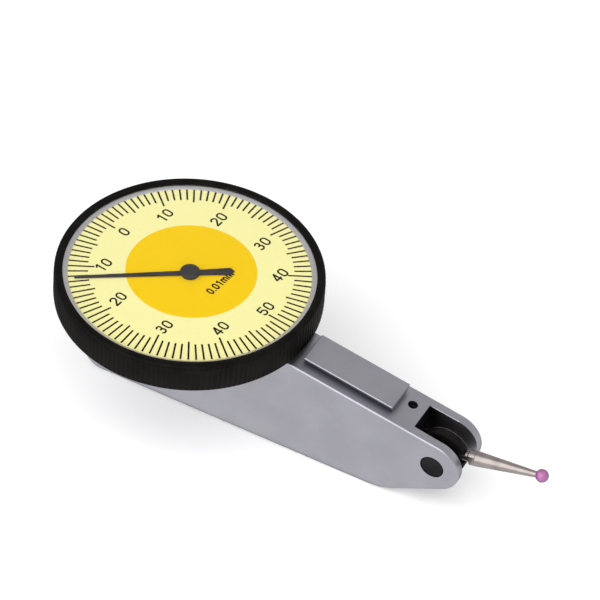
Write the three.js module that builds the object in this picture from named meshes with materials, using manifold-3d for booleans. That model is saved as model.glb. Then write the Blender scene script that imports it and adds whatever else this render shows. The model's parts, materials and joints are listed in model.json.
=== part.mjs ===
// Dial test indicator: a flat wedge-shaped body with a dovetail rail, a turning dial on top and a
// swinging ball-ended stylus in its forked nose. Millimetres, +Z out of the dial, +X along the body
// towards the stylus, origin under the dial's axis on the flat underside that the body stands on.

import * as THREE from "three";
import { mergeVertices } from "three/addons/utils/BufferGeometryUtils.js";
import Module from "manifold-3d";

const wasm = await Module();
wasm.setup();

const degree = Math.PI / 180;
const quarterTurn = 90 * degree;
const weld = 1e-5;
const cutOverrun = 1;

// Clearances.
const fitGap = 0.1;
const runningGap = 0.3;
const pivotGap = 0.05;

// Overall sizes, read off the photograph.
const overallHeight = 23.5;
const bezelRadius = 20;
const bezelHeight = 4.85;
const bodyWidth = 8;
const slotWidth = 5;
const nosePivotReach = 43.2;
const nosePivotHeight = 8.94;
const noseRadius = 4.25;
const rearInset = 5;
const rearReach = bezelRadius - rearInset;
const undersideRise = 27.7 * degree;

// What the scale shows: one turn of the hand for this much movement of the ball.
const scaleSpan = 1;
const scaleDivisions = 100;
const stylusReach = 16;
const ballRadius = 1;
const stylusTilt = 11.4 * degree;
const restDivisions = 12.5;
const overTravelDivisions = 1;
const zeroAzimuth = 169.5 * degree;

// Gear train: lever, sector, pinion, crown wheel, centre pinion.
const sectorModule = 0.2;
const sectorFullTeeth = 96;
const sectorCutTeeth = 9;
const sectorPinionTeeth = 12;
const crownModule = 0.12;
const crownTeeth = 60;
const centrePinionTeeth = 12;
const pressureAngle = 25 * degree;
const addendumShare = 0.9;
const dedendumShare = 1.2;
const backlashShare = 0.28;

const sectorPitchRadius = (sectorModule * sectorFullTeeth) / 2;
const sectorPinionRadius = (sectorModule * sectorPinionTeeth) / 2;
const crownPitchRadius = (crownModule * crownTeeth) / 2;
const centrePinionRadius = (crownModule * centrePinionTeeth) / 2;
const wholeRatio = (2 * Math.PI * stylusReach) / scaleSpan;
const pinionRatio = sectorFullTeeth / sectorPinionTeeth;
const crownRatio = crownTeeth / centrePinionTeeth;
const leverRatio = wholeRatio / (pinionRatio * crownRatio);

// Full swing of the lever, then of the sector, and how far each stands off its middle at rest.
const travelDivisions = restDivisions + scaleDivisions + overTravelDivisions;
const leverSwing = ((travelDivisions / scaleDivisions) * scaleSpan) / stylusReach;
const sectorSwing = leverSwing * leverRatio;
const leverRest = leverSwing / 2;
const sectorRest = sectorSwing / 2;

// The train's axes: the crown wheel's arbor lies across the body under the dial's axis.
const trainHeight = nosePivotHeight;
const sectorAxis = sectorPitchRadius + sectorPinionRadius;
const shortArm = (nosePivotReach - sectorAxis) / (1 + leverRatio);
const longArm = nosePivotReach - sectorAxis - shortArm;

// Heights from the underside up to the dial.
const bezelBottom = overallHeight - bezelHeight;
const caseSeatDrop = 0.35;
const padTop = bezelBottom - caseSeatDrop;
const caseFloor = 1;
const caseFloorTop = padTop + caseFloor;
const plateThickness = 0.6;
const plateFootTop = caseFloorTop + plateThickness;
const cockThickness = 0.7;
const cockTop = plateFootTop + cockThickness;
const lipThickness = 0.3;
const crystalEdge = 0.3;
const reflectorHeight = 0.2;
const dialThickness = 0.4;
const lipUnder = overallHeight - lipThickness;
const crystalUnder = lipUnder - crystalEdge;
const dialTop = crystalUnder - reflectorHeight;
const dialUnder = dialTop - dialThickness;

// Bezel group.
const bezelWall = 0.9;
const bezelBore = bezelRadius - bezelWall;
const bezelRimRound = 0.5;
const bezelFootBevel = 0.15;
const lipWidth = 1.3;
const reflectorWidth = 0.8;
const sightRadius = bezelRadius - lipWidth;
const dialSightRadius = sightRadius - reflectorWidth;
const insertRadius = bezelBore - fitGap;
const springGrooveHeight = 0.6;
const springGrooveRise = 1;
const springGrooveDepth = 0.3;
const crystalDome = 0.85;
const domePower = 4;
const retainerHeight = 0.35;
const retainerWidth = 0.7;
const dialHoleRadius = 1;

// Dial case.
const caseRadius = bezelBore - runningGap;
const caseWall = 1;
const caseRim = 1.9;
const caseGrooveDepth = 0.5;

// Body cavity.
const edgeRound = 0.45;
const rearRound = 3;
const bellyRound = 10.5;
const padInset = 1.4;
const padFront = caseRadius - padInset;
const padStep = 0.59;
const screwLand = 3.9;
const rearWall = 5.5;
const cavityFloor = 1.5;
const cavityRear = rearReach - rearWall;
const cavityMouth = padFront - screwLand;
const roofThickness = 1.7;
const forkWall = 3;
const forkGap = 0.25;
const windowWidth = 3.7;
const windowHeight = 5.6;

// Dovetail rail.
const railWidth = 5.9;
const railHeight = 1.6;
const railSetback = 0.85;
const railFrontGap = 1.8;
const dovetailAngle = 60 * degree;
const stopHoleRadius = 0.75;
const stopHoleBack = 2.1;
const stopHoleOffset = 1;

// Nose pivot.
const hubRadius = 3.75;
const hubWidth = 1.7;
const hubChamfer = 0.2;
const notchHalfWidth = 0.78;
const notchDepth = 0.68;
const axleRadius = 0.75;
const bearingRadius = 1.8;
const bearingWidth = 0.9;
const plugRadius = 1.85;
const plugDepth = 0.45;
const plugRecess = 0.05;
const flangeRadius = 3;
const flangeThickness = 0.4;
const clutchThickness = 0.25;
const clutchRadius = 2.4;
const collarThickness = 0.5;
const collarRadius = 1.5;

// Lever arm.
const armWidth = 1.2;
const armRootHeight = 2.8;
const armTipHeight = 1.5;
const drivePinRadius = 0.4;
const forkSlotWidth = 0.92;

// Stylus.
const rootRadius = 0.65;
const rootDepth = 1.6;
const collarStandOff = 0.55;
const collarLength = 1.15;
const stylusRadius = 1.15;
const stylusTipRadius = 0.46;
const flatHalfWidth = 0.95;

// Movement.
const leafGap = 3.6;
const leafFar = leafGap / 2;
const leafDepth = 3.1;
const footReach = 5.8;
const footSetback = 4.9;
const footLand = 3.1;
const footRear = cavityRear - footSetback;
const footFront = cavityMouth - footLand;
const pillarRadius = 0.6;
const arborRadius = 0.5;
const sectorThickness = 0.6;
const sectorFace = 0.9;
const pinionLength = 0.9;
const pivotRadius = 0.22;
const jewelRadius = 0.6;
const jewelThickness = 0.5;
const crownPlate = 0.55;
const crownBack = 1.55;
const crownToothWidth = 0.7;
const centrePinionLength = 1.5;
const centreArborRadius = 0.45;
const handPostRadius = 0.3;
const lowerPivotLength = 1;
const lowerCockHeight = 0.7;
const lowerCockHalfWidth = 0.9;
const lowerCockReach = 0.8;
const cockHalfWidth = 1.8;
const screwSpread = 4.9;
const screwHeadRadius = 0.95;
const screwHeadHeight = 0.6;
const screwShankRadius = 0.5;
const screwSlotWidth = 0.25;
const screwSlotDepth = 0.25;
const caseScrewSpread = 2.2;
const caseScrewInset = 2.8;
const caseScrewDepth = 1.5;

// Hairspring.
const springInner = 1.25;
const springOuter = 3.1;
const springTurns = 4;
const springStepsPerTurn = 20;
const springStripWidth = 0.4;
const springStripThickness = 0.12;
const springLift = 0.25;
const colletRadius = 0.8;
const studWidth = 0.6;

// Hand.
const handTipGap = 0.9;
const handReach = dialSightRadius - handTipGap;
const handTail = 6.6;
const handThickness = 0.12;
const handLift = 0.15;
const handHubRadius = 1.45;
const handHubHeight = 0.45;
const handHubChamfer = 0.1;
const handSkirtRadius = 1.3;
const handNeckRadius = 0.8;
const handTailWidth = 1.35;
const handTailPoint = 0.55;
const handRootWidth = 0.85;
const handTipWidth = 0.6;

// How finely round forms are cut.
const dialFacets = 64;
const hubFacets = 36;
const smallFacets = 16;
const tinyFacets = 12;
const arcFacets = 6;
const rimFacets = 4;

// Solids from three.js geometries, and back.
function solidOf(geometry) {
  const bare = geometry.index ? geometry.toNonIndexed() : geometry.clone();
  for (const name of Object.keys(bare.attributes)) {
    if (name !== "position") bare.deleteAttribute(name);
  }
  const merged = mergeVertices(bare, weld);
  const mesh = new wasm.Mesh({
    numProp: 3,
    vertProperties: merged.attributes.position.array,
    triVerts: new Uint32Array(merged.index.array),
  });
  return new wasm.Manifold(mesh);
}

function geometryOf(solid) {
  const mesh = solid.getMesh();
  const geometry = new THREE.BufferGeometry();
  geometry.setAttribute("position", new THREE.BufferAttribute(mesh.vertProperties, 3));
  geometry.setIndex(new THREE.BufferAttribute(mesh.triVerts, 1));
  return geometry;
}

// A joined to all of the others, and A with all of the others cut out of it.
function joined(first, ...others) {
  return others.reduce((whole, other) => whole.add(other), first);
}

function cut(first, ...others) {
  return others.reduce((whole, other) => whole.subtract(other), first);
}

// A flat outline in X and Z, given its thickness between two places along Y.
function acrossBody(shape, near, far) {
  const settings = { depth: far - near, bevelEnabled: false, curveSegments: arcFacets };
  const geometry = new THREE.ExtrudeGeometry(shape, settings);
  geometry.rotateX(quarterTurn);
  geometry.translate(0, far, 0);
  return solidOf(geometry);
}

// A flat outline in X and Y, given its thickness between two heights.
function upright(shape, low, high) {
  const settings = { depth: high - low, bevelEnabled: false, curveSegments: arcFacets };
  const geometry = new THREE.ExtrudeGeometry(shape, settings);
  geometry.translate(0, 0, low);
  return solidOf(geometry);
}

function block(x0, x1, y0, y1, z0, z1) {
  const geometry = new THREE.BoxGeometry(x1 - x0, y1 - y0, z1 - z0);
  geometry.translate((x0 + x1) / 2, (y0 + y1) / 2, (z0 + z1) / 2);
  return solidOf(geometry);
}

// A round bar along Z at a place in X and Y.
function barZ(x, y, radius, z0, z1, facets) {
  const geometry = new THREE.CylinderGeometry(radius, radius, z1 - z0, facets);
  geometry.rotateX(quarterTurn);
  geometry.translate(x, y, (z0 + z1) / 2);
  return solidOf(geometry);
}

// A round bar along Y at a place in X and Z.
function barY(x, z, radius, y0, y1, facets) {
  const geometry = new THREE.CylinderGeometry(radius, radius, y1 - y0, facets);
  geometry.translate(x, (y0 + y1) / 2, z);
  return solidOf(geometry);
}

// A turned piece from its radius and height pairs, listed up its outside and down its inside.
function turnedZ(profile, facets) {
  const points = [...profile, profile[0]].map(([radius, height]) => new THREE.Vector2(radius, height));
  const geometry = new THREE.LatheGeometry(points, facets);
  geometry.rotateX(quarterTurn);
  return solidOf(geometry);
}

function turnedY(profile, facets) {
  const points = [...profile, profile[0]].map(([radius, height]) => new THREE.Vector2(radius, height));
  return solidOf(new THREE.LatheGeometry(points, facets));
}

function outline(points) {
  return new THREE.Shape(points.map(([x, y]) => new THREE.Vector2(x, y)));
}

const finishes = {
  satinChrome: { color: 0xa8a9ae, roughness: 0.42, metalness: 0.9 },
  blackAnodised: { color: 0x1c1b1b, roughness: 0.5, metalness: 0.2 },
  dialPaint: { color: 0xfff6a6, roughness: 0.6, metalness: 0 },
  crystalClear: { color: 0xffffff, roughness: 0.05, metalness: 0, transparent: true, opacity: 0.25 },
  brightRing: { color: 0xc9c9c4, roughness: 0.25, metalness: 1 },
  handPaint: { color: 0x4a4648, roughness: 0.45, metalness: 0.4 },
  blackOxide: { color: 0x262524, roughness: 0.45, metalness: 0.6 },
  nickel: { color: 0xa89f9c, roughness: 0.25, metalness: 1 },
  ruby: { color: 0xc060b0, roughness: 0.1, metalness: 0 },
  brass: { color: 0xc9a24a, roughness: 0.35, metalness: 1 },
  steel: { color: 0xb5b5b8, roughness: 0.3, metalness: 1 },
  blueSteel: { color: 0x3d4a6a, roughness: 0.3, metalness: 1 },
};

function piece(name, solid, finish) {
  const mesh = new THREE.Mesh(geometryOf(solid), new THREE.MeshStandardMaterial(finishes[finish]));
  mesh.name = name;
  mesh.material.flatShading = true;
  return mesh;
}

// The body's floor slopes from the foot of the dial pad down to the round nose, which it lies along.
const floorRun = nosePivotReach - padFront;
const floorRise = padTop - padStep - nosePivotHeight;
const toNose = Math.hypot(floorRun, floorRise);
const floorSlope = Math.atan2(floorRise, floorRun) - Math.asin(noseRadius / toNose);

function floorHeight(x) {
  const overNose = noseRadius / Math.cos(floorSlope);
  return nosePivotHeight + overNose + (nosePivotReach - x) * Math.tan(floorSlope);
}

// Side view of the body: flat underside, round belly, nose round the pivot, sloping floor, dial pad.
function bodyOutline() {
  const noseX = nosePivotReach;
  const noseZ = nosePivotHeight;
  const top = padTop;
  const rise = undersideRise;
  const tangentX = noseX + noseRadius * Math.sin(rise);
  const tangentZ = noseZ - noseRadius * Math.cos(rise);
  const cornerX = tangentX - tangentZ / Math.tan(rise);
  const bellyReach = bellyRound * Math.tan(rise / 2);
  const shape = new THREE.Shape();
  shape.moveTo(-rearReach + rearRound, 0);
  shape.lineTo(cornerX - bellyReach, 0);
  shape.absarc(cornerX - bellyReach, bellyRound, bellyRound, -quarterTurn, rise - quarterTurn, false);
  shape.lineTo(tangentX, tangentZ);
  shape.absarc(noseX, noseZ, noseRadius, rise - quarterTurn, quarterTurn - floorSlope, false);
  shape.lineTo(padFront, floorHeight(padFront));
  shape.lineTo(padFront, top);
  shape.lineTo(-rearReach, top);
  shape.lineTo(-rearReach, rearRound);
  shape.absarc(-rearReach + rearRound, rearRound, rearRound, 2 * quarterTurn, 3 * quarterTurn, false);
  return shape;
}

// The slot in the nose that the stylus hub turns in, its inner wall just behind the hub.
const forkBack = nosePivotReach - hubRadius - forkGap;
const cavityFront = forkBack - forkWall;

function cavityOutline() {
  const top = padTop + cutOverrun;
  const frontTop = floorHeight(cavityFront) - roofThickness;
  const mouthRoof = floorHeight(cavityMouth) - roofThickness;
  const bellyCorner = cavityFront - windowHeight;
  return outline([
    [-cavityRear, cavityFloor],
    [bellyCorner, cavityFloor],
    [cavityFront, nosePivotHeight - windowHeight + cavityFloor],
    [cavityFront, frontTop],
    [cavityMouth, mouthRoof],
    [cavityMouth, top],
    [-cavityRear, top],
  ]);
}

// Dovetail rail: wide on top, narrow at its root, lying along the sloping floor.
function dovetailRail() {
  const start = bezelRadius + railSetback - railHeight * Math.sin(floorSlope);
  const end = forkBack - stopHoleBack - railFrontGap;
  const undercut = railHeight / Math.tan(dovetailAngle);
  const halfTop = railWidth / 2;
  const halfRoot = halfTop - undercut;
  const sink = edgeRound;
  const section = outline([
    [-halfRoot, -sink],
    [halfRoot, -sink],
    [halfRoot, 0],
    [halfTop, railHeight],
    [-halfTop, railHeight],
    [-halfRoot, 0],
  ]);
  const settings = { depth: (end - start) / Math.cos(floorSlope), bevelEnabled: false };
  const geometry = new THREE.ExtrudeGeometry(section, settings);
  geometry.rotateX(quarterTurn);
  geometry.rotateZ(quarterTurn);
  geometry.rotateY(floorSlope);
  geometry.translate(start, 0, floorHeight(start));
  return solidOf(geometry);
}

function bodyFrame() {
  const half = bodyWidth / 2;
  const settings = {
    depth: bodyWidth - 2 * edgeRound,
    bevelEnabled: true,
    bevelThickness: edgeRound,
    bevelSize: edgeRound,
    bevelOffset: -edgeRound,
    bevelSegments: 2,
    curveSegments: arcFacets + 2,
  };
  const geometry = new THREE.ExtrudeGeometry(bodyOutline(), settings);
  geometry.rotateX(quarterTurn);
  geometry.translate(0, half - edgeRound, 0);
  const shell = solidOf(geometry);
  const slotHalf = slotWidth / 2;
  const noseEnd = nosePivotReach + noseRadius + cutOverrun;
  const fork = block(forkBack, noseEnd, -slotHalf, slotHalf, -cutOverrun, padTop);
  const cavity = acrossBody(cavityOutline(), -slotHalf, slotHalf);
  const windowLow = nosePivotHeight - windowHeight / 2;
  const windowHigh = nosePivotHeight + windowHeight / 2;
  const armWindow = block(
    cavityFront - cutOverrun,
    forkBack + cutOverrun,
    -windowWidth / 2,
    windowWidth / 2,
    windowLow,
    windowHigh,
  );
  const bore = plugRadius + pivotGap;
  const pivotBore = barY(
    nosePivotReach,
    nosePivotHeight,
    bore,
    -half - cutOverrun,
    half + cutOverrun,
    hubFacets,
  );
  const holeX = forkBack - stopHoleBack;
  const holeTop = floorHeight(holeX) + cutOverrun;
  const stopHole = barZ(holeX, stopHoleOffset, stopHoleRadius, nosePivotHeight, holeTop, smallFacets);
  const holeLow = padTop - caseScrewDepth - fitGap;
  const screwHoles = caseScrewPlaces.map(([x, y]) =>
    barZ(x, y, screwShankRadius + pivotGap, holeLow, padTop + cutOverrun, tinyFacets),
  );
  return cut(joined(shell, dovetailRail()), fork, cavity, armWindow, pivotBore, stopHole, ...screwHoles);
}

// Case screws stand fore and aft of the body's mouth, in its solid ends.
const caseScrewPlaces = [-1, 1].flatMap((side) => [
  [-rearReach + caseScrewInset, side * caseScrewSpread],
  [(cavityMouth + padFront) / 2, side * caseScrewSpread],
]);

// A slotted cheese-head screw standing on its head's underside at height z.
function screw(x, y, z, shankLength, headHeight) {
  const slotHalf = screwSlotWidth / 2;
  const reach = screwHeadRadius + cutOverrun;
  const top = z + headHeight;
  const head = barZ(x, y, screwHeadRadius, z, top, smallFacets);
  const shank = barZ(x, y, screwShankRadius, z - shankLength, z + headHeight / 2, tinyFacets);
  const slot = block(
    x - reach,
    x + reach,
    y - slotHalf,
    y + slotHalf,
    top - screwSlotDepth,
    top + cutOverrun,
  );
  return cut(joined(head, shank), slot);
}

// Dial case: a shallow round cup on the body's pad, grooved outside for the bezel's spring.
const grooveLow = bezelBottom + springGrooveRise;
const grooveHigh = grooveLow + springGrooveHeight;

function dialCase() {
  const rim = caseFloorTop + caseRim;
  const groove = caseRadius - caseGrooveDepth;
  const inner = caseRadius - caseWall;
  const cup = turnedZ(
    [
      [0, padTop],
      [caseRadius, padTop],
      [caseRadius, grooveLow],
      [groove, grooveLow],
      [groove, grooveHigh],
      [caseRadius, grooveHigh],
      [caseRadius, rim],
      [inner, rim],
      [inner, caseFloorTop],
      [0, caseFloorTop],
    ],
    dialFacets,
  );
  const low = padTop - cutOverrun;
  const high = caseFloorTop + cutOverrun;
  const mouth = block(-cavityRear, cavityMouth, -slotWidth / 2, slotWidth / 2, low, high);
  const shank = screwShankRadius + pivotGap;
  const holes = caseScrewPlaces.map(([x, y]) => barZ(x, y, shank, low, high, tinyFacets));
  const blind = caseFloorTop - caseFloor + fitGap + pivotGap;
  const threads = movementScrewPlaces.map(([x, y]) => barZ(x, y, shank, blind, high, tinyFacets));
  return cut(cup, mouth, ...holes, ...threads);
}

const movementScrewPlaces = [-1, 1].flatMap((side) => [
  [0, side * screwSpread],
  [footFront - screwHeadRadius - pivotGap - fitGap, side * screwSpread],
]);

// Bent movement plate: a foot on the case floor and a leaf hanging into the body beside the gears.
function movementPlate(side) {
  const near = side < 0 ? -leafFar - plateThickness : leafFar;
  const lowest = trainHeight - leafDepth;
  const leafShape = outline([
    [-footRear, plateFootTop],
    [-footRear, trainHeight + leafDepth],
    [-leafDepth, lowest],
    [sectorAxis + jewelRadius * 2, lowest],
    [sectorAxis + jewelRadius * 2, trainHeight + jewelRadius * 2],
    [footFront, plateFootTop],
  ]);
  const leaf = acrossBody(leafShape, near, near + plateThickness);
  const footNear = side < 0 ? -footReach : leafFar;
  const foot = block(
    -footRear,
    footFront,
    footNear,
    footNear + footReach - leafFar,
    caseFloorTop,
    plateFootTop,
  );
  const holeRadius = screwShankRadius + pivotGap;
  const holeLow = caseFloorTop - cutOverrun;
  const holeHigh = plateFootTop + cutOverrun;
  const holes = movementScrewPlaces
    .filter(([, y]) => y * side > 0)
    .map(([x, y]) => barZ(x, y, holeRadius, holeLow, holeHigh, tinyFacets));
  const jewelHole = jewelRadius + pivotGap;
  const reach = near - cutOverrun;
  const end = near + plateThickness + cutOverrun;
  const jewelHoles = [0, sectorAxis].map((x) => barY(x, trainHeight, jewelHole, reach, end, smallFacets));
  return cut(joined(leaf, foot), ...holes, ...jewelHoles);
}

const jewelMiddle = leafFar + plateThickness / 2;

function leafJewel(x, side) {
  const low = side * jewelMiddle - jewelThickness / 2;
  const high = side * jewelMiddle + jewelThickness / 2;
  const ring = barY(x, trainHeight, jewelRadius, low, high, smallFacets);
  const bore = pivotRadius + pivotGap;
  return cut(ring, barY(x, trainHeight, bore, low - cutOverrun, high + cutOverrun, tinyFacets));
}

function pillar(x, z) {
  return barY(x, z, pillarRadius, -leafFar, leafFar, smallFacets);
}

// Centre cock: the bridge that carries the hand's arbor at its upper end.
function centreCock() {
  const bar = block(-cockHalfWidth, cockHalfWidth, -footReach, footReach, plateFootTop, cockTop);
  const low = plateFootTop - cutOverrun;
  const high = cockTop + cutOverrun;
  const jewelHole = barZ(0, 0, jewelRadius + handPostRadius + pivotGap, low, high, smallFacets);
  const holes = [-1, 1].map((side) =>
    barZ(0, side * screwSpread, screwShankRadius + pivotGap, low, high, tinyFacets),
  );
  return cut(bar, jewelHole, ...holes);
}

function upperJewel() {
  const low = plateFootTop + fitGap;
  const high = cockTop - fitGap;
  const ring = barZ(0, 0, jewelRadius + handPostRadius, low, high, smallFacets);
  const hole = barZ(0, 0, handPostRadius + pivotGap, low - cutOverrun, high + cutOverrun, tinyFacets);
  return cut(ring, hole);
}

// Lower cock: a short finger from the far plate, between the two wheels, under the centre pinion.
const centrePinionMiddle = trainHeight + crownPitchRadius - crownToothWidth / 8;
const centrePinionLow = centrePinionMiddle - centrePinionLength / 2;
const centrePinionHigh = centrePinionMiddle + centrePinionLength / 2;
const lowerCockTop = centrePinionLow - runningGap;
const lowerCockLow = lowerCockTop - lowerCockHeight;

function lowerCock() {
  const half = lowerCockHalfWidth;
  const finger = block(-half, half, -lowerCockReach, leafFar, lowerCockLow, lowerCockTop);
  const hole = barZ(
    0,
    0,
    jewelRadius - fitGap + pivotGap,
    lowerCockLow - cutOverrun,
    lowerCockTop + cutOverrun,
    smallFacets,
  );
  return cut(finger, hole);
}

function lowerJewel() {
  const ring = barZ(0, 0, jewelRadius - fitGap, lowerCockLow + fitGap, lowerCockTop - fitGap, smallFacets);
  const low = lowerCockLow - cutOverrun;
  const hole = barZ(0, 0, pivotRadius + pivotGap, low, lowerCockTop + cutOverrun, tinyFacets);
  return cut(ring, hole);
}

// Involute teeth. The half width of a tooth, as an angle, at a radius.
function toothHalfAngle(radius, pitchRadius, teeth, thinning) {
  const base = pitchRadius * Math.cos(pressureAngle);
  const inv = (angle) => Math.tan(angle) - angle;
  const atRadius = radius > base ? Math.acos(base / radius) : 0;
  const atPitch = Math.PI / (2 * teeth) - thinning / (2 * pitchRadius);
  return atPitch + inv(pressureAngle) - inv(atRadius);
}

function toothedArc(teeth, module, count, middle) {
  const pitchRadius = (teeth * module) / 2;
  const root = pitchRadius - dedendumShare * module;
  const tip = pitchRadius + addendumShare * module;
  const thinning = backlashShare * module;
  const radii = [root, (root + pitchRadius) / 2, pitchRadius, (pitchRadius + tip) / 2, tip];
  const points = [];
  for (let tooth = 0; tooth < count; tooth += 1) {
    const centre = middle + (tooth - (count - 1) / 2) * ((2 * Math.PI) / teeth);
    for (const radius of radii) {
      const angle = centre - toothHalfAngle(radius, pitchRadius, teeth, thinning);
      points.push([radius * Math.cos(angle), radius * Math.sin(angle)]);
    }
    for (const radius of [...radii].reverse()) {
      const angle = centre + toothHalfAngle(radius, pitchRadius, teeth, thinning);
      points.push([radius * Math.cos(angle), radius * Math.sin(angle)]);
    }
  }
  return points;
}

// Crown wheel: a disc with straight teeth standing on its face, towards the centre pinion.
const crownTipFace = -centrePinionRadius + addendumShare * crownModule;
const crownRootFace = -centrePinionRadius - dedendumShare * crownModule;
const crownOuter = crownPitchRadius + crownToothWidth / 2;
const crownInner = crownPitchRadius - crownToothWidth / 2;

function crownTooth(angle) {
  const pitch = Math.PI * crownModule;
  const atPitch = pitch / 2 - backlashShare * crownModule;
  const slope = Math.tan(pressureAngle);
  const tipHalf = atPitch / 2 - addendumShare * crownModule * slope;
  const sink = crownPlate / 2;
  const rootHalf = atPitch / 2 + dedendumShare * crownModule * slope;
  const section = outline([
    [-rootHalf, crownRootFace - sink],
    [rootHalf, crownRootFace - sink],
    [rootHalf, crownRootFace],
    [tipHalf, crownTipFace],
    [-tipHalf, crownTipFace],
    [-rootHalf, crownRootFace],
  ]);
  const geometry = new THREE.ExtrudeGeometry(section, { depth: crownToothWidth, bevelEnabled: false });
  geometry.translate(0, 0, crownInner);
  geometry.rotateY(quarterTurn - angle);
  return solidOf(geometry);
}

function crownWheel() {
  const disc = barY(0, 0, crownOuter, -crownBack, crownRootFace, hubFacets);
  const teeth = [];
  for (let tooth = 0; tooth < crownTeeth; tooth += 1) {
    teeth.push(crownTooth(quarterTurn + (tooth * 2 * Math.PI) / crownTeeth));
  }
  const bore = barY(0, 0, arborRadius + pivotGap, -crownBack - cutOverrun, cutOverrun, smallFacets);
  const middle = (arborRadius + crownInner) / 2;
  const windows = [0, 1, 2, 3].map((turn) => {
    const angle = (turn + 1 / 2) * quarterTurn;
    const x = middle * Math.cos(angle);
    const z = middle * Math.sin(angle);
    return barY(x, z, (crownInner - arborRadius) / 4, -crownBack - cutOverrun, cutOverrun, smallFacets);
  });
  return cut(joined(disc, ...teeth), bore, ...windows);
}

// Cross arbor with the pinion that the sector drives.
const sectorNear = sectorFace;
const sectorFar = sectorFace + sectorThickness;
const pinionNear = (sectorNear + sectorFar - pinionLength) / 2;
const pinionFar = pinionNear + pinionLength;

function crossArbor(radius) {
  const shoulder = leafFar - fitGap;
  const end = jewelMiddle + jewelThickness / 2;
  return turnedY(
    [
      [0, -end],
      [pivotRadius, -end],
      [pivotRadius, -shoulder],
      [radius, -shoulder],
      [radius, shoulder],
      [pivotRadius, shoulder],
      [pivotRadius, end],
      [0, end],
    ],
    smallFacets,
  );
}

function crownArbor() {
  const teeth = outline(toothedArc(sectorPinionTeeth, sectorModule, sectorPinionTeeth, 0));
  const pinion = acrossBody(teeth, pinionNear, pinionFar);
  return joined(crossArbor(arborRadius), pinion);
}

// Sector: short forked arm towards the nose, toothed arc towards the pinion.
const sectorHubRadius = 1.3;
const sectorRim = 0.8;

function sectorGear() {
  const rootRadius = sectorPitchRadius - dedendumShare * sectorModule;
  const toothPitch = (2 * Math.PI) / sectorFullTeeth;
  const halfArc = (sectorCutTeeth * toothPitch) / 2;
  const arc = toothedArc(sectorFullTeeth, sectorModule, sectorCutTeeth, Math.PI);
  const rimInner = rootRadius - sectorRim;
  const from = Math.PI - halfArc;
  const to = Math.PI + halfArc;
  const rim = acrossBody(
    outline([
      [rootRadius * Math.cos(from), rootRadius * Math.sin(from)],
      ...arc,
      [rootRadius * Math.cos(to), rootRadius * Math.sin(to)],
      [rimInner * Math.cos(to), rimInner * Math.sin(to)],
      [-rimInner, 0],
      [rimInner * Math.cos(from), rimInner * Math.sin(from)],
    ]),
    sectorNear,
    sectorFar,
  );
  const webEnd = rimInner + sectorRim / 2;
  const webHalf = webEnd * Math.sin(halfArc);
  const hubHalf = sectorHubRadius * Math.cos(halfArc);
  const web = acrossBody(
    outline([
      [-webEnd * Math.cos(halfArc), -webHalf],
      [0, -hubHalf],
      [0, hubHalf],
      [-webEnd * Math.cos(halfArc), webHalf],
    ]),
    sectorNear,
    sectorFar,
  );
  const hub = barY(0, 0, sectorHubRadius, sectorNear, sectorFar, smallFacets);
  const endRadius = forkSlotWidth / 2 + drivePinRadius;
  const armEnd = shortArm + endRadius;
  const arm = acrossBody(
    outline([
      [0, -sectorHubRadius],
      [armEnd, -endRadius],
      [armEnd, endRadius],
      [0, sectorHubRadius],
    ]),
    sectorNear,
    sectorFar,
  );
  const near = sectorNear - cutOverrun;
  const far = sectorFar + cutOverrun;
  const slotHalf = forkSlotWidth / 2;
  const slot = block(
    shortArm - endRadius,
    armEnd + cutOverrun,
    near,
    far,
    -slotHalf,
    slotHalf,
  );
  const bore = barY(0, 0, arborRadius + pivotGap, near, far, smallFacets);
  const lightening = barY(-rimInner * (2 / 3), 0, sectorHubRadius * (2 / 3), near, far, smallFacets);
  return cut(joined(rim, web, hub, arm), slot, bore, lightening);
}

// Centre arbor: lower pivot, centre pinion, shaft up through the cock, post for the hand.
const handTop = dialTop + handLift + handThickness + handHubHeight / 2;

function centreArbor() {
  const shaft = turnedZ(
    [
      [0, centrePinionLow - lowerPivotLength],
      [pivotRadius, centrePinionLow - lowerPivotLength],
      [pivotRadius, centrePinionLow],
      [centreArborRadius, centrePinionLow],
      [centreArborRadius, plateFootTop - fitGap],
      [handPostRadius, plateFootTop - fitGap],
      [handPostRadius, handTop],
      [0, handTop],
    ],
    smallFacets,
  );
  const teeth = outline(toothedArc(centrePinionTeeth, crownModule, centrePinionTeeth, -quarterTurn));
  return joined(shaft, upright(teeth, centrePinionLow, centrePinionHigh));
}

// Hairspring: a flat spiral strip from its collet's edge out to the stud on the cock.
const springMiddle = cockTop + springLift + springStripWidth / 2;

function hairspring() {
  const steps = springTurns * springStepsPerTurn;
  const half = springStripThickness / 2;
  const sides = [[], []];
  for (let step = 0; step <= steps; step += 1) {
    const along = step / steps;
    const angle = along * springTurns * 2 * Math.PI - quarterTurn;
    const radius = springInner + (springOuter - springInner) * along;
    sides[0].push([(radius + half) * Math.cos(angle), (radius + half) * Math.sin(angle)]);
    sides[1].push([(radius - half) * Math.cos(angle), (radius - half) * Math.sin(angle)]);
  }
  const strip = outline([...sides[0], ...sides[1].reverse()]);
  return upright(strip, springMiddle - springStripWidth / 2, springMiddle + springStripWidth / 2);
}

function collet() {
  const low = springMiddle - springStripWidth / 2;
  const high = springMiddle + springStripWidth / 2;
  const ring = barZ(0, 0, colletRadius, low, high, smallFacets);
  return cut(ring, barZ(0, 0, handPostRadius + pivotGap, low - cutOverrun, high + cutOverrun, tinyFacets));
}

function hairspringStud() {
  const near = -springOuter - springStripThickness / 2 - pivotGap;
  const half = studWidth / 2;
  return block(-half, half, near - studWidth, near, cockTop, springMiddle + springStripWidth / 2);
}

// Hand: thin blade, narrow to its tip and wide to its tail, held in a turned hub.
const bladeLow = dialTop + handLift;
const bladeHigh = bladeLow + handThickness;

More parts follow.
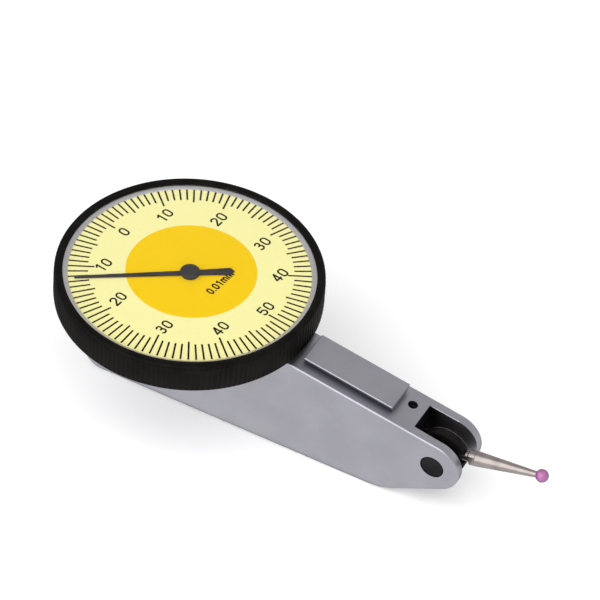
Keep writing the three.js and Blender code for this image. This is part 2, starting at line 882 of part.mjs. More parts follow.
function pointerHand() {
  const tailEnd = -handTail + handTailPoint;
  const blade = upright(
    outline([
      [-handTail, 0],
      [tailEnd, -handTailWidth / 2],
      [0, -handRootWidth / 2],
      [handReach, -handTipWidth / 2],
      [handReach, handTipWidth / 2],
      [0, handRootWidth / 2],
      [tailEnd, handTailWidth / 2],
    ]),
    bladeLow,
    bladeHigh,
  );
  const boss = barZ(0, 0, handSkirtRadius, bladeLow, bladeHigh, smallFacets);
  const low = bladeLow - cutOverrun;
  const hole = barZ(0, 0, handNeckRadius + pivotGap, low, bladeHigh + cutOverrun, smallFacets);
  return cut(joined(blade, boss), hole);
}

function handHub() {
  const bore = handPostRadius + pivotGap;
  const low = dialTop + pivotGap;
  const high = bladeHigh + handHubHeight;
  return turnedZ(
    [
      [bore, low],
      [handSkirtRadius - fitGap, low],
      [handSkirtRadius, bladeLow],
      [handNeckRadius, bladeLow],
      [handNeckRadius, bladeHigh],
      [handHubRadius, bladeHigh],
      [handHubRadius, high - handHubChamfer],
      [handHubRadius - handHubChamfer, high],
      [0, high],
      [0, handTop + pivotGap],
      [bore, handTop + pivotGap],
    ],
    hubFacets,
  );
}

// Bezel: a plain turned ring, bored from below for the crystal, reflector and dial.
function bezel() {
  const grooveRadius = bezelBore + springGrooveDepth;
  const top = overallHeight;
  const rim = [];
  for (let step = 0; step <= rimFacets; step += 1) {
    const angle = (step / rimFacets) * quarterTurn;
    const out = bezelRimRound * (1 - Math.cos(angle));
    const down = bezelRimRound * (1 - Math.sin(angle));
    rim.push([bezelRadius - out, top - down]);
  }
  return turnedZ(
    [
      [bezelBore, bezelBottom],
      [bezelRadius - bezelFootBevel, bezelBottom],
      [bezelRadius, bezelBottom + bezelFootBevel],
      ...rim,
      [sightRadius + lipThickness / 2, top],
      [sightRadius, top - lipThickness / 2],
      [sightRadius, lipUnder],
      [bezelBore, lipUnder],
      [bezelBore, grooveHigh + pivotGap],
      [grooveRadius, grooveHigh + pivotGap],
      [grooveRadius, grooveLow - pivotGap],
      [bezelBore, grooveLow - pivotGap],
    ],
    dialFacets,
  );
}

// Crystal: clear, slightly domed, its edge held under the bezel's lip.
function crystal() {
  const sight = sightRadius - fitGap;
  const dome = (share) => crystalDome * (1 - Math.pow(share, domePower));
  const upper = [];
  const lower = [];
  for (let ring = 0; ring <= rimFacets; ring += 1) {
    const share = 1 - ring / rimFacets;
    upper.push([sight * share, lipUnder + dome(share)]);
    lower.unshift([sight * share, crystalUnder + dome(share)]);
  }
  return turnedZ([...lower, [insertRadius, crystalUnder], [insertRadius, lipUnder], ...upper], dialFacets);
}

// Reflector: bright ring sloping from the crystal's edge down to the dial.
function reflectorRing() {
  return turnedZ(
    [
      [dialSightRadius, dialTop],
      [insertRadius, dialTop],
      [insertRadius, crystalUnder],
      [sightRadius, crystalUnder],
    ],
    dialFacets,
  );
}

function dialPlate() {
  return turnedZ(
    [
      [dialHoleRadius, dialUnder],
      [insertRadius, dialUnder],
      [insertRadius, dialTop],
      [dialHoleRadius, dialTop],
    ],
    dialFacets,
  );
}

function dialRetainer() {
  return turnedZ(
    [
      [insertRadius - retainerWidth, dialUnder - retainerHeight],
      [insertRadius, dialUnder - retainerHeight],
      [insertRadius, dialUnder],
      [insertRadius - retainerWidth, dialUnder],
    ],
    dialFacets,
  );
}

// Bezel spring: an open wire ring, half in the case's groove and half in the bezel's.
function bezelSpring() {
  const inner = caseRadius - caseGrooveDepth + fitGap;
  const outer = bezelBore + springGrooveDepth - fitGap;
  const low = grooveLow + fitGap;
  const high = grooveHigh - fitGap;
  const ring = turnedZ(
    [
      [inner, low],
      [outer, low],
      [outer, high],
      [inner, high],
    ],
    dialFacets,
  );
  const reach = outer + cutOverrun;
  return cut(ring, block(-reach, 0, -cutOverrun, cutOverrun, low - cutOverrun, high + cutOverrun));
}

// Nose pivot pieces, all turned about the pivot's own axis.
const flangeNear = hubWidth / 2 + fitGap;
const flangeFar = flangeNear + flangeThickness;
const clutchFar = -hubWidth / 2 - fitGap;
const clutchNear = clutchFar - clutchThickness;

function leverAxle() {
  const end = slotWidth / 2 + bearingWidth;
  const collarFar = clutchNear - fitGap;
  return turnedY(
    [
      [0, -end],
      [axleRadius, -end],
      [axleRadius, collarFar - collarThickness],
      [collarRadius, collarFar - collarThickness],
      [collarRadius, collarFar],
      [axleRadius, collarFar],
      [axleRadius, end],
      [0, end],
    ],
    smallFacets,
  );
}

function noseBearing(side) {
  const inner = slotWidth / 2 + pivotGap;
  const low = side < 0 ? -inner - bearingWidth : inner;
  return turnedY(
    [
      [axleRadius + pivotGap, low],
      [bearingRadius, low],
      [bearingRadius, low + bearingWidth],
      [axleRadius + pivotGap, low + bearingWidth],
    ],
    hubFacets,
  );
}

function pivotPlug(side) {
  const face = bodyWidth / 2 - plugRecess;
  const low = side < 0 ? -face : face - plugDepth;
  return barY(0, 0, plugRadius, low, low + plugDepth, hubFacets);
}

function clutchWasher() {
  return turnedY(
    [
      [axleRadius + pivotGap, clutchNear],
      [clutchRadius, clutchNear],
      [clutchRadius, clutchFar],
      [axleRadius + pivotGap, clutchFar],
    ],
    hubFacets,
  );
}

// Stylus hub: a disc on the axle, its rim notched where the root of the stylus screws in.
function stylusHub() {
  const half = hubWidth / 2;
  const rim = hubRadius - hubChamfer;
  const disc = turnedY(
    [
      [axleRadius + pivotGap, -half],
      [rim, -half],
      [hubRadius, -half + hubChamfer],
      [hubRadius, half - hubChamfer],
      [rim, half],
      [axleRadius + pivotGap, half],
    ],
    hubFacets,
  );
  const socket = new THREE.CylinderGeometry(
    rootRadius + pivotGap,
    rootRadius + pivotGap,
    rootDepth + cutOverrun,
    smallFacets,
  );
  socket.rotateZ(quarterTurn);
  socket.translate(hubRadius - rootDepth / 2 + cutOverrun / 2 - fitGap, 0, 0);
  const notch = block(
    hubRadius - notchDepth,
    hubRadius + cutOverrun,
    -half - cutOverrun,
    half + cutOverrun,
    -notchHalfWidth,
    notchHalfWidth,
  );
  return cut(disc, solidOf(socket), notch);
}

// Stylus: threaded root in the hub, flatted collar, long taper, ball at the tip.
function stylus() {
  const rootStart = hubRadius - rootDepth;
  const collarStart = hubRadius + collarStandOff;
  const taperStart = collarStart + collarLength;
  const taperEnd = stylusReach - ballRadius / 2;
  const radiusEnd = stylusTipRadius;
  const profile = [
    [0, rootStart],
    [rootRadius, rootStart],
    [rootRadius, collarStart],
    [stylusRadius - fitGap, collarStart],
    [stylusRadius, collarStart + fitGap],
    [stylusRadius, taperStart],
    [radiusEnd, taperEnd],
    [0, taperEnd],
  ];
  const points = profile.map(([radius, height]) => new THREE.Vector2(radius, height));
  const geometry = new THREE.LatheGeometry(points, smallFacets + arcFacets);
  geometry.rotateZ(-quarterTurn);
  const turned = solidOf(geometry);
  const cup = new THREE.SphereGeometry(ballRadius + pivotGap, hubFacets, smallFacets);
  cup.translate(stylusReach, 0, 0);
  const flatEnd = taperStart - fitGap;
  const flats = [-1, 1].map((side) => {
    const near = side < 0 ? -stylusRadius - cutOverrun : flatHalfWidth;
    const far = side < 0 ? -flatHalfWidth : stylusRadius + cutOverrun;
    return block(collarStart + fitGap, flatEnd, near, far, -stylusRadius, stylusRadius);
  });
  return cut(turned, solidOf(cup), ...flats);
}

function rubyBall() {
  const geometry = new THREE.SphereGeometry(ballRadius, smallFacets + arcFacets, tinyFacets);
  geometry.translate(stylusReach, 0, 0);
  return solidOf(geometry);
}

// Lever arm: a thin disc beside the hub, stepped into a tapered bar that reaches back to the sector.
function leverArm() {
  const disc = barY(0, 0, flangeRadius, flangeNear, flangeFar, hubFacets);
  const rootHalf = armRootHeight / 2;
  const tipHalf = armTipHeight / 2;
  const barHalf = armWidth / 2;
  const stepFront = hubRadius + forkGap + fitGap;
  const stepBack = stepFront + forkWall;
  const link = block(-stepBack, 0, flangeNear, flangeFar, -rootHalf, rootHalf);
  const step = block(-stepBack, -stepFront, -barHalf, flangeFar, -rootHalf, rootHalf);
  const bar = acrossBody(
    outline([
      [-stepFront, -rootHalf],
      [-stepFront, rootHalf],
      [-stepBack, rootHalf],
      [-longArm, tipHalf],
      [-longArm - tipHalf, tipHalf / 2],
      [-longArm - tipHalf, -tipHalf / 2],
      [-longArm, -tipHalf],
      [-stepBack, -rootHalf],
    ]),
    -barHalf,
    barHalf,
  );
  const bore = barY(0, 0, axleRadius + pivotGap, -cutOverrun, flangeFar + cutOverrun, smallFacets);
  const pinHole = barY(
    -longArm,
    0,
    drivePinRadius + pivotGap,
    -barHalf - cutOverrun,
    barHalf + cutOverrun,
    smallFacets,
  );
  return cut(joined(disc, link, step, bar), bore, pinHole);
}

function drivePin() {
  return barY(-longArm, 0, drivePinRadius, -armWidth / 2, leafFar, tinyFacets);
}

// Stop screw: grub screw in the floor ahead of the rail, which the resting lever comes up against.
function stopScrew() {
  const x = forkBack - stopHoleBack;
  const radius = stopHoleRadius - fitGap;
  const top = floorHeight(x) - runningGap * 2;
  const low = nosePivotHeight + armRootHeight / 2 + runningGap;
  const slotHalf = screwSlotWidth / 2;
  const slotReach = radius + cutOverrun;
  const slot = block(
    x - slotReach,
    x + slotReach,
    stopHoleOffset - slotHalf,
    stopHoleOffset + slotHalf,
    top - screwSlotDepth * 2,
    top + cutOverrun,
  );
  return cut(barZ(x, stopHoleOffset, radius, low, top, smallFacets), slot);
}

// A group of pieces that share one axis, turned about Y to where they stand at rest.
function turnedGroup(x, z, angle, ...members) {
  const group = new THREE.Group();
  group.position.set(x, 0, z);
  group.rotation.y = angle;
  group.add(...members);
  return group;
}

const indicator = new THREE.Group();

indicator.add(
  piece("body_frame", bodyFrame(), "satinChrome"),
  piece("dial_case", dialCase(), "satinChrome"),
  piece("stop_screw", stopScrew(), "blackOxide"),
);
caseScrewPlaces.forEach(([x, y], index) => {
  const solid = screw(x, y, caseFloorTop, caseFloor + caseScrewDepth, screwHeadHeight);
  indicator.add(piece("case_screw_" + (index + 1), solid, "steel"));
});

// Movement, fixed in the body.
indicator.add(
  piece("movement_plate_near", movementPlate(-1), "brass"),
  piece("movement_plate_far", movementPlate(1), "brass"),
  piece("pillar_rear", pillar(cockHalfWidth + pillarRadius, padTop - jewelRadius * 2), "brass"),
  piece("pillar_front", pillar(footFront - pillarRadius * 2, padTop - jewelRadius * 2), "brass"),
  piece("centre_cock", centreCock(), "brass"),
  piece("lower_cock", lowerCock(), "brass"),
  piece("upper_jewel", upperJewel(), "ruby"),
  piece("lower_jewel", lowerJewel(), "ruby"),
  piece("crown_jewel_near", leafJewel(0, -1), "ruby"),
  piece("crown_jewel_far", leafJewel(0, 1), "ruby"),
  piece("sector_jewel_near", leafJewel(sectorAxis, -1), "ruby"),
  piece("sector_jewel_far", leafJewel(sectorAxis, 1), "ruby"),
  piece("hairspring", hairspring(), "blueSteel"),
  piece("hairspring_stud", hairspringStud(), "brass"),
  piece("bezel_spring", bezelSpring(), "steel"),
);
movementScrewPlaces.forEach(([x, y], index) => {
  const onCock = x === 0;
  const seat = onCock ? cockTop : plateFootTop;
  const shank = seat - caseFloorTop + caseFloor - runningGap;
  indicator.add(piece("movement_screw_" + (index + 1), screw(x, y, seat, shank, screwHeadHeight), "steel"));
});

// Nose bearings and the plugs that close their bores.
indicator.add(
  turnedGroup(
    nosePivotReach,
    nosePivotHeight,
    0,
    piece("nose_bearing_near", noseBearing(-1), "steel"),
    piece("nose_bearing_far", noseBearing(1), "steel"),
    piece("pivot_plug_near", pivotPlug(-1), "blackOxide"),
    piece("pivot_plug_far", pivotPlug(1), "blackOxide"),
  ),
);

// Lever, at rest against its stop with its rear end high.
indicator.add(
  turnedGroup(
    nosePivotReach,
    nosePivotHeight,
    leverRest,
    piece("lever_axle", leverAxle(), "steel"),
    piece("lever_arm", leverArm(), "nickel"),
    piece("drive_pin", drivePin(), "steel"),
    piece("clutch_washer", clutchWasher(), "blackOxide"),
  ),
);

// Stylus, set by hand against the clutch to the angle in the photograph.
indicator.add(
  turnedGroup(
    nosePivotReach,
    nosePivotHeight,
    -stylusTilt,
    piece("stylus_hub", stylusHub(), "blackOxide"),
    piece("stylus", stylus(), "nickel"),
    piece("ruby_ball", rubyBall(), "ruby"),
  ),
);

indicator.add(
  turnedGroup(
    sectorAxis,
    trainHeight,
    -sectorRest,
    piece("sector_gear", sectorGear(), "brass"),
    piece("sector_arbor", crossArbor(arborRadius), "steel"),
  ),
);

// At mid travel a gap of this pinion faces the sector; at rest it has turned back from there.
const pinionRest = sectorRest * pinionRatio;
const arborGroup = turnedGroup(0, trainHeight, pinionRest, piece("crown_arbor", crownArbor(), "steel"));
indicator.add(arborGroup);
indicator.add(turnedGroup(0, trainHeight, 0, piece("crown_wheel", crownWheel(), "brass")));

// Centre arbor and hand.
const handGroup = new THREE.Group();
handGroup.add(
  piece("pointer_hand", pointerHand(), "handPaint"),
  piece("hand_hub", handHub(), "handPaint"),
);
handGroup.rotation.z = zeroAzimuth + (restDivisions / scaleDivisions) * 2 * Math.PI;
indicator.add(
  piece("centre_arbor", centreArbor(), "steel"),
  piece("hairspring_collet", collet(), "brass"),
  handGroup,
);

// Bezel group, which turns by hand about the dial's axis.
indicator.add(
  piece("bezel", bezel(), "blackAnodised"),
  piece("crystal", crystal(), "crystalClear"),
  piece("reflector_ring", reflectorRing(), "brightRing"),
  piece("dial_plate", dialPlate(), "dialPaint"),
  piece("dial_retainer", dialRetainer(), "steel"),
);

export default indicator;
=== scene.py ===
import json
import math

import bmesh
import bpy
from mathutils import Matrix, Vector


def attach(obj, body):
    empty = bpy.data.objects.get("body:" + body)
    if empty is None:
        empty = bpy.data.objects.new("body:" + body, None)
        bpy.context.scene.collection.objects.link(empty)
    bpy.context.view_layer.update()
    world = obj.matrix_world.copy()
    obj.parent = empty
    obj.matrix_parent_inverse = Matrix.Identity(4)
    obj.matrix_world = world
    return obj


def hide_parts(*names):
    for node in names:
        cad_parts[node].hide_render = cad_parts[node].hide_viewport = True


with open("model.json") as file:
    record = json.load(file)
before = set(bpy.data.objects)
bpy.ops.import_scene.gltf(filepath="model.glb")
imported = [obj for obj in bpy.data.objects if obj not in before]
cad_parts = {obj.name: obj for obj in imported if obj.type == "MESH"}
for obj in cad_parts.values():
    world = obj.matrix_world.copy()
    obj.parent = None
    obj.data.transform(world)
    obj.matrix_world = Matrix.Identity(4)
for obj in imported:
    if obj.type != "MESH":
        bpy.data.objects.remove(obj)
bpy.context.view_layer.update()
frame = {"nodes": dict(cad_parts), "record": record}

nodes = frame["nodes"]
mm = 0.001
print("frame loaded:", len(nodes), "nodes")

# Where the main things stand, in millimetres, as in the CAD
plan = {
    "pivotX": 43.2,
    "pivotZ": 8.94,
    "noseRadius": 4.25,
    "bodyWidth": 8.0,
    "slotWidth": 5.0,
    "floorSlope": math.radians(9.8),
    "dialTop": 22.7,
    "zeroAzimuth": math.radians(171.8),
    "divisions": 100,
    "handAzimuth": math.radians(214.5),
    "stylusTilt": math.radians(11.4),
}
pivot = Vector((plan["pivotX"], 0, plan["pivotZ"]))


# Helpers for meshes, which are worked in millimetres


def spinAboutZ(profile, steps, closed=True):
    # profile is (radius, height) pairs; open ones start and end on the axis
    bm = bmesh.new()
    ring = [bm.verts.new((r, 0, z)) for r, z in profile]
    pairs = list(zip(ring, ring[1:])) + ([(ring[-1], ring[0])] if closed else [])
    edges = [bm.edges.new(pair) for pair in pairs]
    bmesh.ops.spin(
        bm,
        geom=ring + edges,
        cent=(0, 0, 0),
        axis=(0, 0, 1),
        angle=math.tau,
        steps=steps,
        use_merge=True,
    )
    bmesh.ops.remove_doubles(bm, verts=bm.verts, dist=1e-5)
    bmesh.ops.recalc_face_normals(bm, faces=bm.faces)
    return bm


def boxOf(low, high):
    bm = bmesh.new()
    size = [b - a for a, b in zip(low, high)]
    middle = [(a + b) / 2 for a, b in zip(low, high)]
    bmesh.ops.create_cube(bm, size=1)
    bmesh.ops.scale(bm, vec=size, verts=bm.verts)
    bmesh.ops.translate(bm, vec=middle, verts=bm.verts)
    return bm


def rodOf(radius, low, high, steps):
    # a plain round rod along Z
    return spinAboutZ([(0, low), (radius, low), (radius, high), (0, high)], steps, False)


def prismOf(outline, depth):
    # a flat outline of points, drawn out along the vector depth
    bm = bmesh.new()
    corners = [bm.verts.new(point) for point in outline]
    face = bm.faces.new(corners)
    grown = bmesh.ops.extrude_face_region(bm, geom=[face])
    moved = [v for v in grown["geom"] if isinstance(v, bmesh.types.BMVert)]
    bmesh.ops.translate(bm, vec=depth, verts=moved)
    bmesh.ops.recalc_face_normals(bm, faces=bm.faces)
    return bm


def turned(bm, matrix):
    bmesh.ops.transform(bm, matrix=matrix, verts=bm.verts)
    return bm


def bevelEdges(bm, edges, width, segments):
    bmesh.ops.bevel(
        bm,
        geom=edges,
        offset=width,
        offset_type="OFFSET",
        segments=segments,
        affect="EDGES",
        profile=0.5,
        material=-1,
        clamp_overlap=True,
    )


def sharpEdges(bm, degrees):
    limit = math.radians(degrees)
    return [e for e in bm.edges if len(e.link_faces) == 2 and e.calc_face_angle(0) > limit]


def joinedBm(parts):
    whole = bmesh.new()
    for bm in parts:
        mesh = bpy.data.meshes.new("part")
        bm.to_mesh(mesh)
        whole.from_mesh(mesh)
        bpy.data.meshes.remove(mesh)
        bm.free()
    return whole


def pieceOf(name, bm, body, material, stands=(), smoothAngle=35):
    for face in bm.faces:
        face.smooth = True
    for edge in sharpEdges(bm, smoothAngle):
        edge.smooth = False
    bmesh.ops.scale(bm, vec=(mm, mm, mm), verts=bm.verts)
    mesh = bpy.data.meshes.new(name)
    bm.to_mesh(mesh)
    bm.free()
    piece = bpy.data.objects.new(name, mesh)
    bpy.context.scene.collection.objects.link(piece)
    mesh.materials.append(material)
    even = piece.modifiers.new("evenShading", "WEIGHTED_NORMAL")
    even.keep_sharp = True
    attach(piece, body)
    if stands:
        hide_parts(*stands)
    return piece


def cutBm(bm, cutters, operation="DIFFERENCE"):
    # takes every cutter out of bm, or joins them to it, with exact booleans
    def holder(name, part):
        mesh = bpy.data.meshes.new(name)
        part.to_mesh(mesh)
        part.free()
        thing = bpy.data.objects.new(name, mesh)
        bpy.context.scene.collection.objects.link(thing)
        return thing

    blank = holder("blank", bm)
    tools = [holder("cutter", part) for part in cutters]
    for tool in tools:
        step = blank.modifiers.new("cut", "BOOLEAN")
        step.operation = operation
        step.solver = "EXACT"
        step.object = tool
    ready = blank.evaluated_get(bpy.context.evaluated_depsgraph_get())
    result = bmesh.new()
    result.from_mesh(ready.to_mesh())
    ready.to_mesh_clear()
    for thing in [blank, *tools]:
        mesh = thing.data
        bpy.data.objects.remove(thing)
        bpy.data.meshes.remove(mesh)
    bmesh.ops.remove_doubles(result, verts=result.verts, dist=1e-4)
    return result


# Materials


def hexLinear(code, alpha=1.0):
    def channel(pair):
        value = int(pair, 16) / 255
        return value / 12.92 if value <= 0.04045 else ((value + 0.055) / 1.055) ** 2.4

    return (channel(code[0:2]), channel(code[2:4]), channel(code[4:6]), alpha)


def addNode(tree, kind, settings=None, values=None, links=None):
    # settings are the node's own fields, values its sockets' values, links their (node, output) pairs
    node = tree.nodes.new(kind)
    for key, value in (settings or {}).items():
        setattr(node, key, value)
    for key, value in (values or {}).items():
        node.inputs[key].default_value = value
    for key, (source, output) in (links or {}).items():
        tree.links.new(source.outputs[output], node.inputs[key])
    return node


def startMaterial(name):
    material = bpy.data.materials.new(name)
    material.use_nodes = True
    tree = material.node_tree
    tree.nodes.clear()
    place = addNode(tree, "ShaderNodeTexCoord")
    return material, tree, place


def finishMaterial(tree, shader, output="BSDF"):
    addNode(tree, "ShaderNodeOutputMaterial", links={"Surface": (shader, output)})


def colourBetween(tree, dark, light, source, output, low=0.35, high=0.65):
    ramp = addNode(tree, "ShaderNodeValToRGB", links={"Fac": (source, output)})
    ramp.color_ramp.elements[0].position = low
    ramp.color_ramp.elements[0].color = hexLinear(dark)
    ramp.color_ramp.elements[1].position = high
    ramp.color_ramp.elements[1].color = hexLinear(light)
    return ramp


def blots(tree, place, grain, detail, roughness=0.5):
    # noise shows about one blot for each unit, so its scale is blots in a metre; grain is in millimetres
    return addNode(
        tree,
        "ShaderNodeTexNoise",
        values={"Scale": 1.0 / (grain * mm), "Detail": detail, "Roughness": roughness},
        links={"Vector": place},
    )


def bumpFrom(tree, height, look):
    return addNode(
        tree,
        "ShaderNodeBump",
        values={"Strength": look["bump"], "Distance": look["depth"] * mm},
        links={"Height": height},
    )


def ranged(tree, source, span, result=(0.0, 1.0)):
    # the span of a (node, output) pair becomes the result, and holds still past both ends
    return addNode(
        tree,
        "ShaderNodeMapRange",
        values={"From Min": span[0], "From Max": span[1], "To Min": result[0], "To Max": result[1]},
        links={"Value": source},
    )


def inZone(tree, source, zone):
    # 0 before the zone's first end and 1 past its second, in millimetres; it may run downwards
    return ranged(tree, source, [end * mm for end in zone])


def combined(tree, operation, first, second):
    return addNode(tree, "ShaderNodeMath", {"operation": operation}, links={0: first, 1: second})


def tinted(tree, colour, tint, share):
    # colour goes over to the tint by the share
    return addNode(
        tree,
        "ShaderNodeMixRGB",
        values={"Color2": hexLinear(tint)},
        links={"Fac": share, "Color1": (colour, "Color")},
    )


# Where the painted shade in the slot and the painted highlight on the hub's rim change, in millimetres:
# each pair is where a change starts and where it is complete
slotShadeZone = {"inside": (2.52, 2.5), "ahead": (39.15, 39.19), "fade": (43.8, 40.0)}
rimHighlightZone = {"far": (0.66, 0.7), "outer": (3.5, 3.56)}
# from how open a corner is to the share of painted shade in it
cornerShadeLook = {"colour": "222831", "samples": 8, "openness": (0.3, 0.9), "share": (0.7, 0.0)}


def darkInSlot(tree, place, colour, dark):
    # painted shade: the back of the fork's slot is painted dark, and the dark fades out along its faces
    spot = addNode(tree, "ShaderNodeSeparateXYZ", links={"Vector": (place, "Object")})
    aside = addNode(tree, "ShaderNodeMath", {"operation": "ABSOLUTE"}, links={0: (spot, "Y")})
    inside = inZone(tree, (aside, "Value"), slotShadeZone["inside"])
    ahead = inZone(tree, (spot, "X"), slotShadeZone["ahead"])
    fade = inZone(tree, (spot, "X"), slotShadeZone["fade"])
    slot = combined(tree, "MULTIPLY", (inside, "Result"), (ahead, "Result"))
    share = combined(tree, "MULTIPLY", (slot, "Value"), (fade, "Result"))
    return tinted(tree, colour, dark, (share, "Value"))


def brightRim(tree, place, colour, highlightColour):
    # painted highlight: a light band painted along the hub's far edge
    spot = addNode(tree, "ShaderNodeSeparateXYZ", links={"Vector": (place, "Object")})
    far = inZone(tree, (spot, "Y"), rimHighlightZone["far"])
    fromPivot = addNode(
        tree,
        "ShaderNodeVectorMath",
        {"operation": "DISTANCE"},
        {1: (pivot.x * mm, 0.0, pivot.z * mm)},
        {0: (place, "Object")},
    )
    outer = inZone(tree, (fromPivot, "Value"), rimHighlightZone["outer"])
    rim = combined(tree, "MULTIPLY", (far, "Result"), (outer, "Result"))
    return tinted(tree, colour, highlightColour, (rim, "Value"))


def grimeInCorners(tree, colour, reach):
    # painted shade: darker where faces meet, from an occlusion mask
    corner = addNode(
        tree,
        "ShaderNodeAmbientOcclusion",
        {"samples": cornerShadeLook["samples"]},
        {"Distance": reach * mm},
        {"Color": (colour, "Color")},
    )
    share = ranged(tree, (corner, "AO"), cornerShadeLook["openness"], cornerShadeLook["share"])
    return tinted(tree, colour, cornerShadeLook["colour"], (share, "Result"))


def blastedMetal(name, look):
    # metal or enamel with a fine blasted or satin grain: soft even sheen, no brushed streaks
    material, tree, place = startMaterial(name)
    grain = blots(tree, (place, "Object"), look["grain"], 4.0, 0.6)
    clouds = blots(tree, (place, "Object"), look["clouds"], 2.0)
    colour = colourBetween(tree, look["dark"], look["light"], clouds, "Fac")
    # painted shade in the corners
    if "cornerShade" in look:
        colour = grimeInCorners(tree, colour, look["cornerShade"])
    # painted shade in the fork's slot
    if "slotShade" in look:
        colour = darkInSlot(tree, place, colour, look["slotShade"])
    # painted highlight along the hub's far rim
    if "rimHighlight" in look:
        colour = brightRim(tree, place, colour, look["rimHighlight"])
    smoothest, roughest = look["roughness"] - look["spread"], look["roughness"] + look["spread"]
    rough = ranged(tree, (grain, "Fac"), (0.3, 0.7), (smoothest, roughest))
    bump = bumpFrom(tree, (grain, "Fac"), look)
    shader = addNode(
        tree,
        "ShaderNodeBsdfPrincipled",
        values={"Metallic": look["metallic"], "Specular IOR Level": look.get("specular", 0.5)},
        links={
            "Base Color": (colour, "Color"),
            "Roughness": (rough, "Result"),
            "Normal": (bump, "Normal"),
        },
    )
    finishMaterial(tree, shader)
    return material


def turnedMetal(name, look, axis="Z"):
    # metal straight from the lathe: fine rings round its axis that catch the light
    material, tree, place = startMaterial(name)
    lay = addNode(
        tree,
        "ShaderNodeMapping",
        values={"Rotation": look.get("turn", (0.0, 0.0, 0.0))},
        links={"Vector": (place, "Object")},
    )
    # at scale 1 the wave runs through 20 radians in a metre; pitch is half of its length
    rings = addNode(
        tree,
        "ShaderNodeTexWave",
        settings={"wave_type": "BANDS", "bands_direction": axis, "wave_profile": "SIN"},
        values={
            "Scale": math.pi / 20 / (look["pitch"] * mm),
            "Distortion": 0.6,
            "Detail": 2.0,
            "Detail Scale": 2.0,
        },
        links={"Vector": (lay, "Vector")},
    )
    clouds = blots(tree, (lay, "Vector"), look["clouds"], 3.0)
    colour = colourBetween(tree, look["dark"], look["light"], clouds, "Fac")
    bump = bumpFrom(tree, (rings, "Fac"), look)
    shader = addNode(
        tree,
        "ShaderNodeBsdfPrincipled",
        values={"Metallic": 1.0, "Roughness": look["roughness"]},
        links={"Base Color": (colour, "Color"), "Normal": (bump, "Normal")},
    )
    finishMaterial(tree, shader)
    return material


def paintedSheet(name, look):
    # enamel or ink on metal: even colour, faint orange peel, satin gloss
    material, tree, place = startMaterial(name)
    peel = blots(tree, (place, "Object"), look["grain"], 3.0)
    colour = colourBetween(tree, look["dark"], look["light"], peel, "Fac", 0.3, 0.7)
    bump = bumpFrom(tree, (peel, "Fac"), look)
    shader = addNode(
        tree,
        "ShaderNodeBsdfPrincipled",
        values={"Roughness": look["roughness"], "Specular IOR Level": look["specular"]},
        links={"Base Color": (colour, "Color"), "Normal": (bump, "Normal")},
    )
    finishMaterial(tree, shader)
    return material


def clearAcrylic(name, look):
    # clear sheet with faint waves, which lets the lamps through to the dial
    material, tree, place = startMaterial(name)
    waves = blots(tree, (place, "Object"), look["waves"], 1.0)
    bump = bumpFrom(tree, (waves, "Fac"), look)
    sheet = addNode(
        tree,
        "ShaderNodeBsdfPrincipled",
        values={
            "IOR": look["ior"],
            "Roughness": 0.0,
            "Transmission Weight": 1.0,
            "Specular Tint": (look["sheen"], look["sheen"], look["sheen"], 1.0),
        },
        links={"Normal": (bump, "Normal")},
    )
    clear = addNode(tree, "ShaderNodeBsdfTransparent")
    ray = addNode(tree, "ShaderNodeLightPath")
    passing = combined(tree, "MAXIMUM", (ray, "Is Shadow Ray"), (ray, "Is Diffuse Ray"))
    both = addNode(
        tree,
        "ShaderNodeMixShader",
        links={"Fac": (passing, "Value"), 1: (sheet, "BSDF"), 2: (clear, "BSDF")},
    )
    finishMaterial(tree, both, "Shader")
    return material


def polishedStone(name, look):
    # polished stone with painted shade that deepens towards its rim, as it turns from the camera
    material, tree, place = startMaterial(name)
    clouds = blots(tree, (place, "Object"), look["clouds"], 2.0)
    colour = colourBetween(tree, look["dark"], look["light"], clouds, "Fac")
    # painted shade: the colour darkens where the surface turns away from the camera
    edge = addNode(tree, "ShaderNodeLayerWeight", values={"Blend": look["rimShadeBlend"]})
    shadedRim = tinted(tree, colour, look["rim"], (edge, "Facing"))
    shader = addNode(
        tree,
        "ShaderNodeBsdfPrincipled",
        values={"IOR": look["ior"], "Roughness": look["roughness"], "Transmission Weight": look["clear"]},
        links={"Base Color": (shadedRim, "Color")},
    )
    finishMaterial(tree, shader)
    return material


# plated steel body: soft even grey sheen, faint cloudiness, painted shade in its corners and in the fork's
# slot
satinChrome = blastedMetal(
    "satinChromePlate",
    {"dark": "A8A7AF", "light": "AFAEB6", "grain": 0.12, "clouds": 5.0, "roughness": 0.37, "spread": 0.05,
     "bump": 0.1, "depth": 0.02, "metallic": 1.0, "slotShade": "4C4B50", "cornerShade": 1.2},
)
# bezel: deep matt black, only its edges catch a little light
blackAnodised = blastedMetal(
    "blackAnodisedAluminium",
    {"dark": "0A0807", "light": "12100D", "grain": 0.1, "clouds": 3.0, "roughness": 0.42,
     "spread": 0.06, "bump": 0.1, "depth": 0.01, "metallic": 0.0, "specular": 0.06},
)
# hub: black with an oily sheen, and a painted highlight along its far edge
hubOxide = blastedMetal(
    "blackOxideHub",
    {"dark": "0B0A0A", "light": "151312", "grain": 0.1, "clouds": 1.5, "roughness": 0.34, "spread": 0.06,
     "bump": 0.15, "depth": 0.01, "metallic": 0.0, "specular": 0.08, "rimHighlight": "9A8C86"},
)
# plugs, stop screw and washer: soft black, a shade lighter than the bezel
blackOxide = blastedMetal(
    "blackOxideSteel",
    {"dark": "111011", "light": "19181A", "grain": 0.1, "clouds": 1.5, "roughness": 0.4,
     "spread": 0.06, "bump": 0.15, "depth": 0.01, "metallic": 0.0, "specular": 0.08},
)
# lever inside the slot: dark burnished brown that reads almost black
burnishedSteel = blastedMetal(
    "burnishedBrownSteel",
    {"dark": "2A2422", "light": "3A3230", "grain": 0.15, "clouds": 1.5, "roughness": 0.38,
     "spread": 0.06, "bump": 0.12, "depth": 0.01, "metallic": 0.6, "specular": 0.3},
)
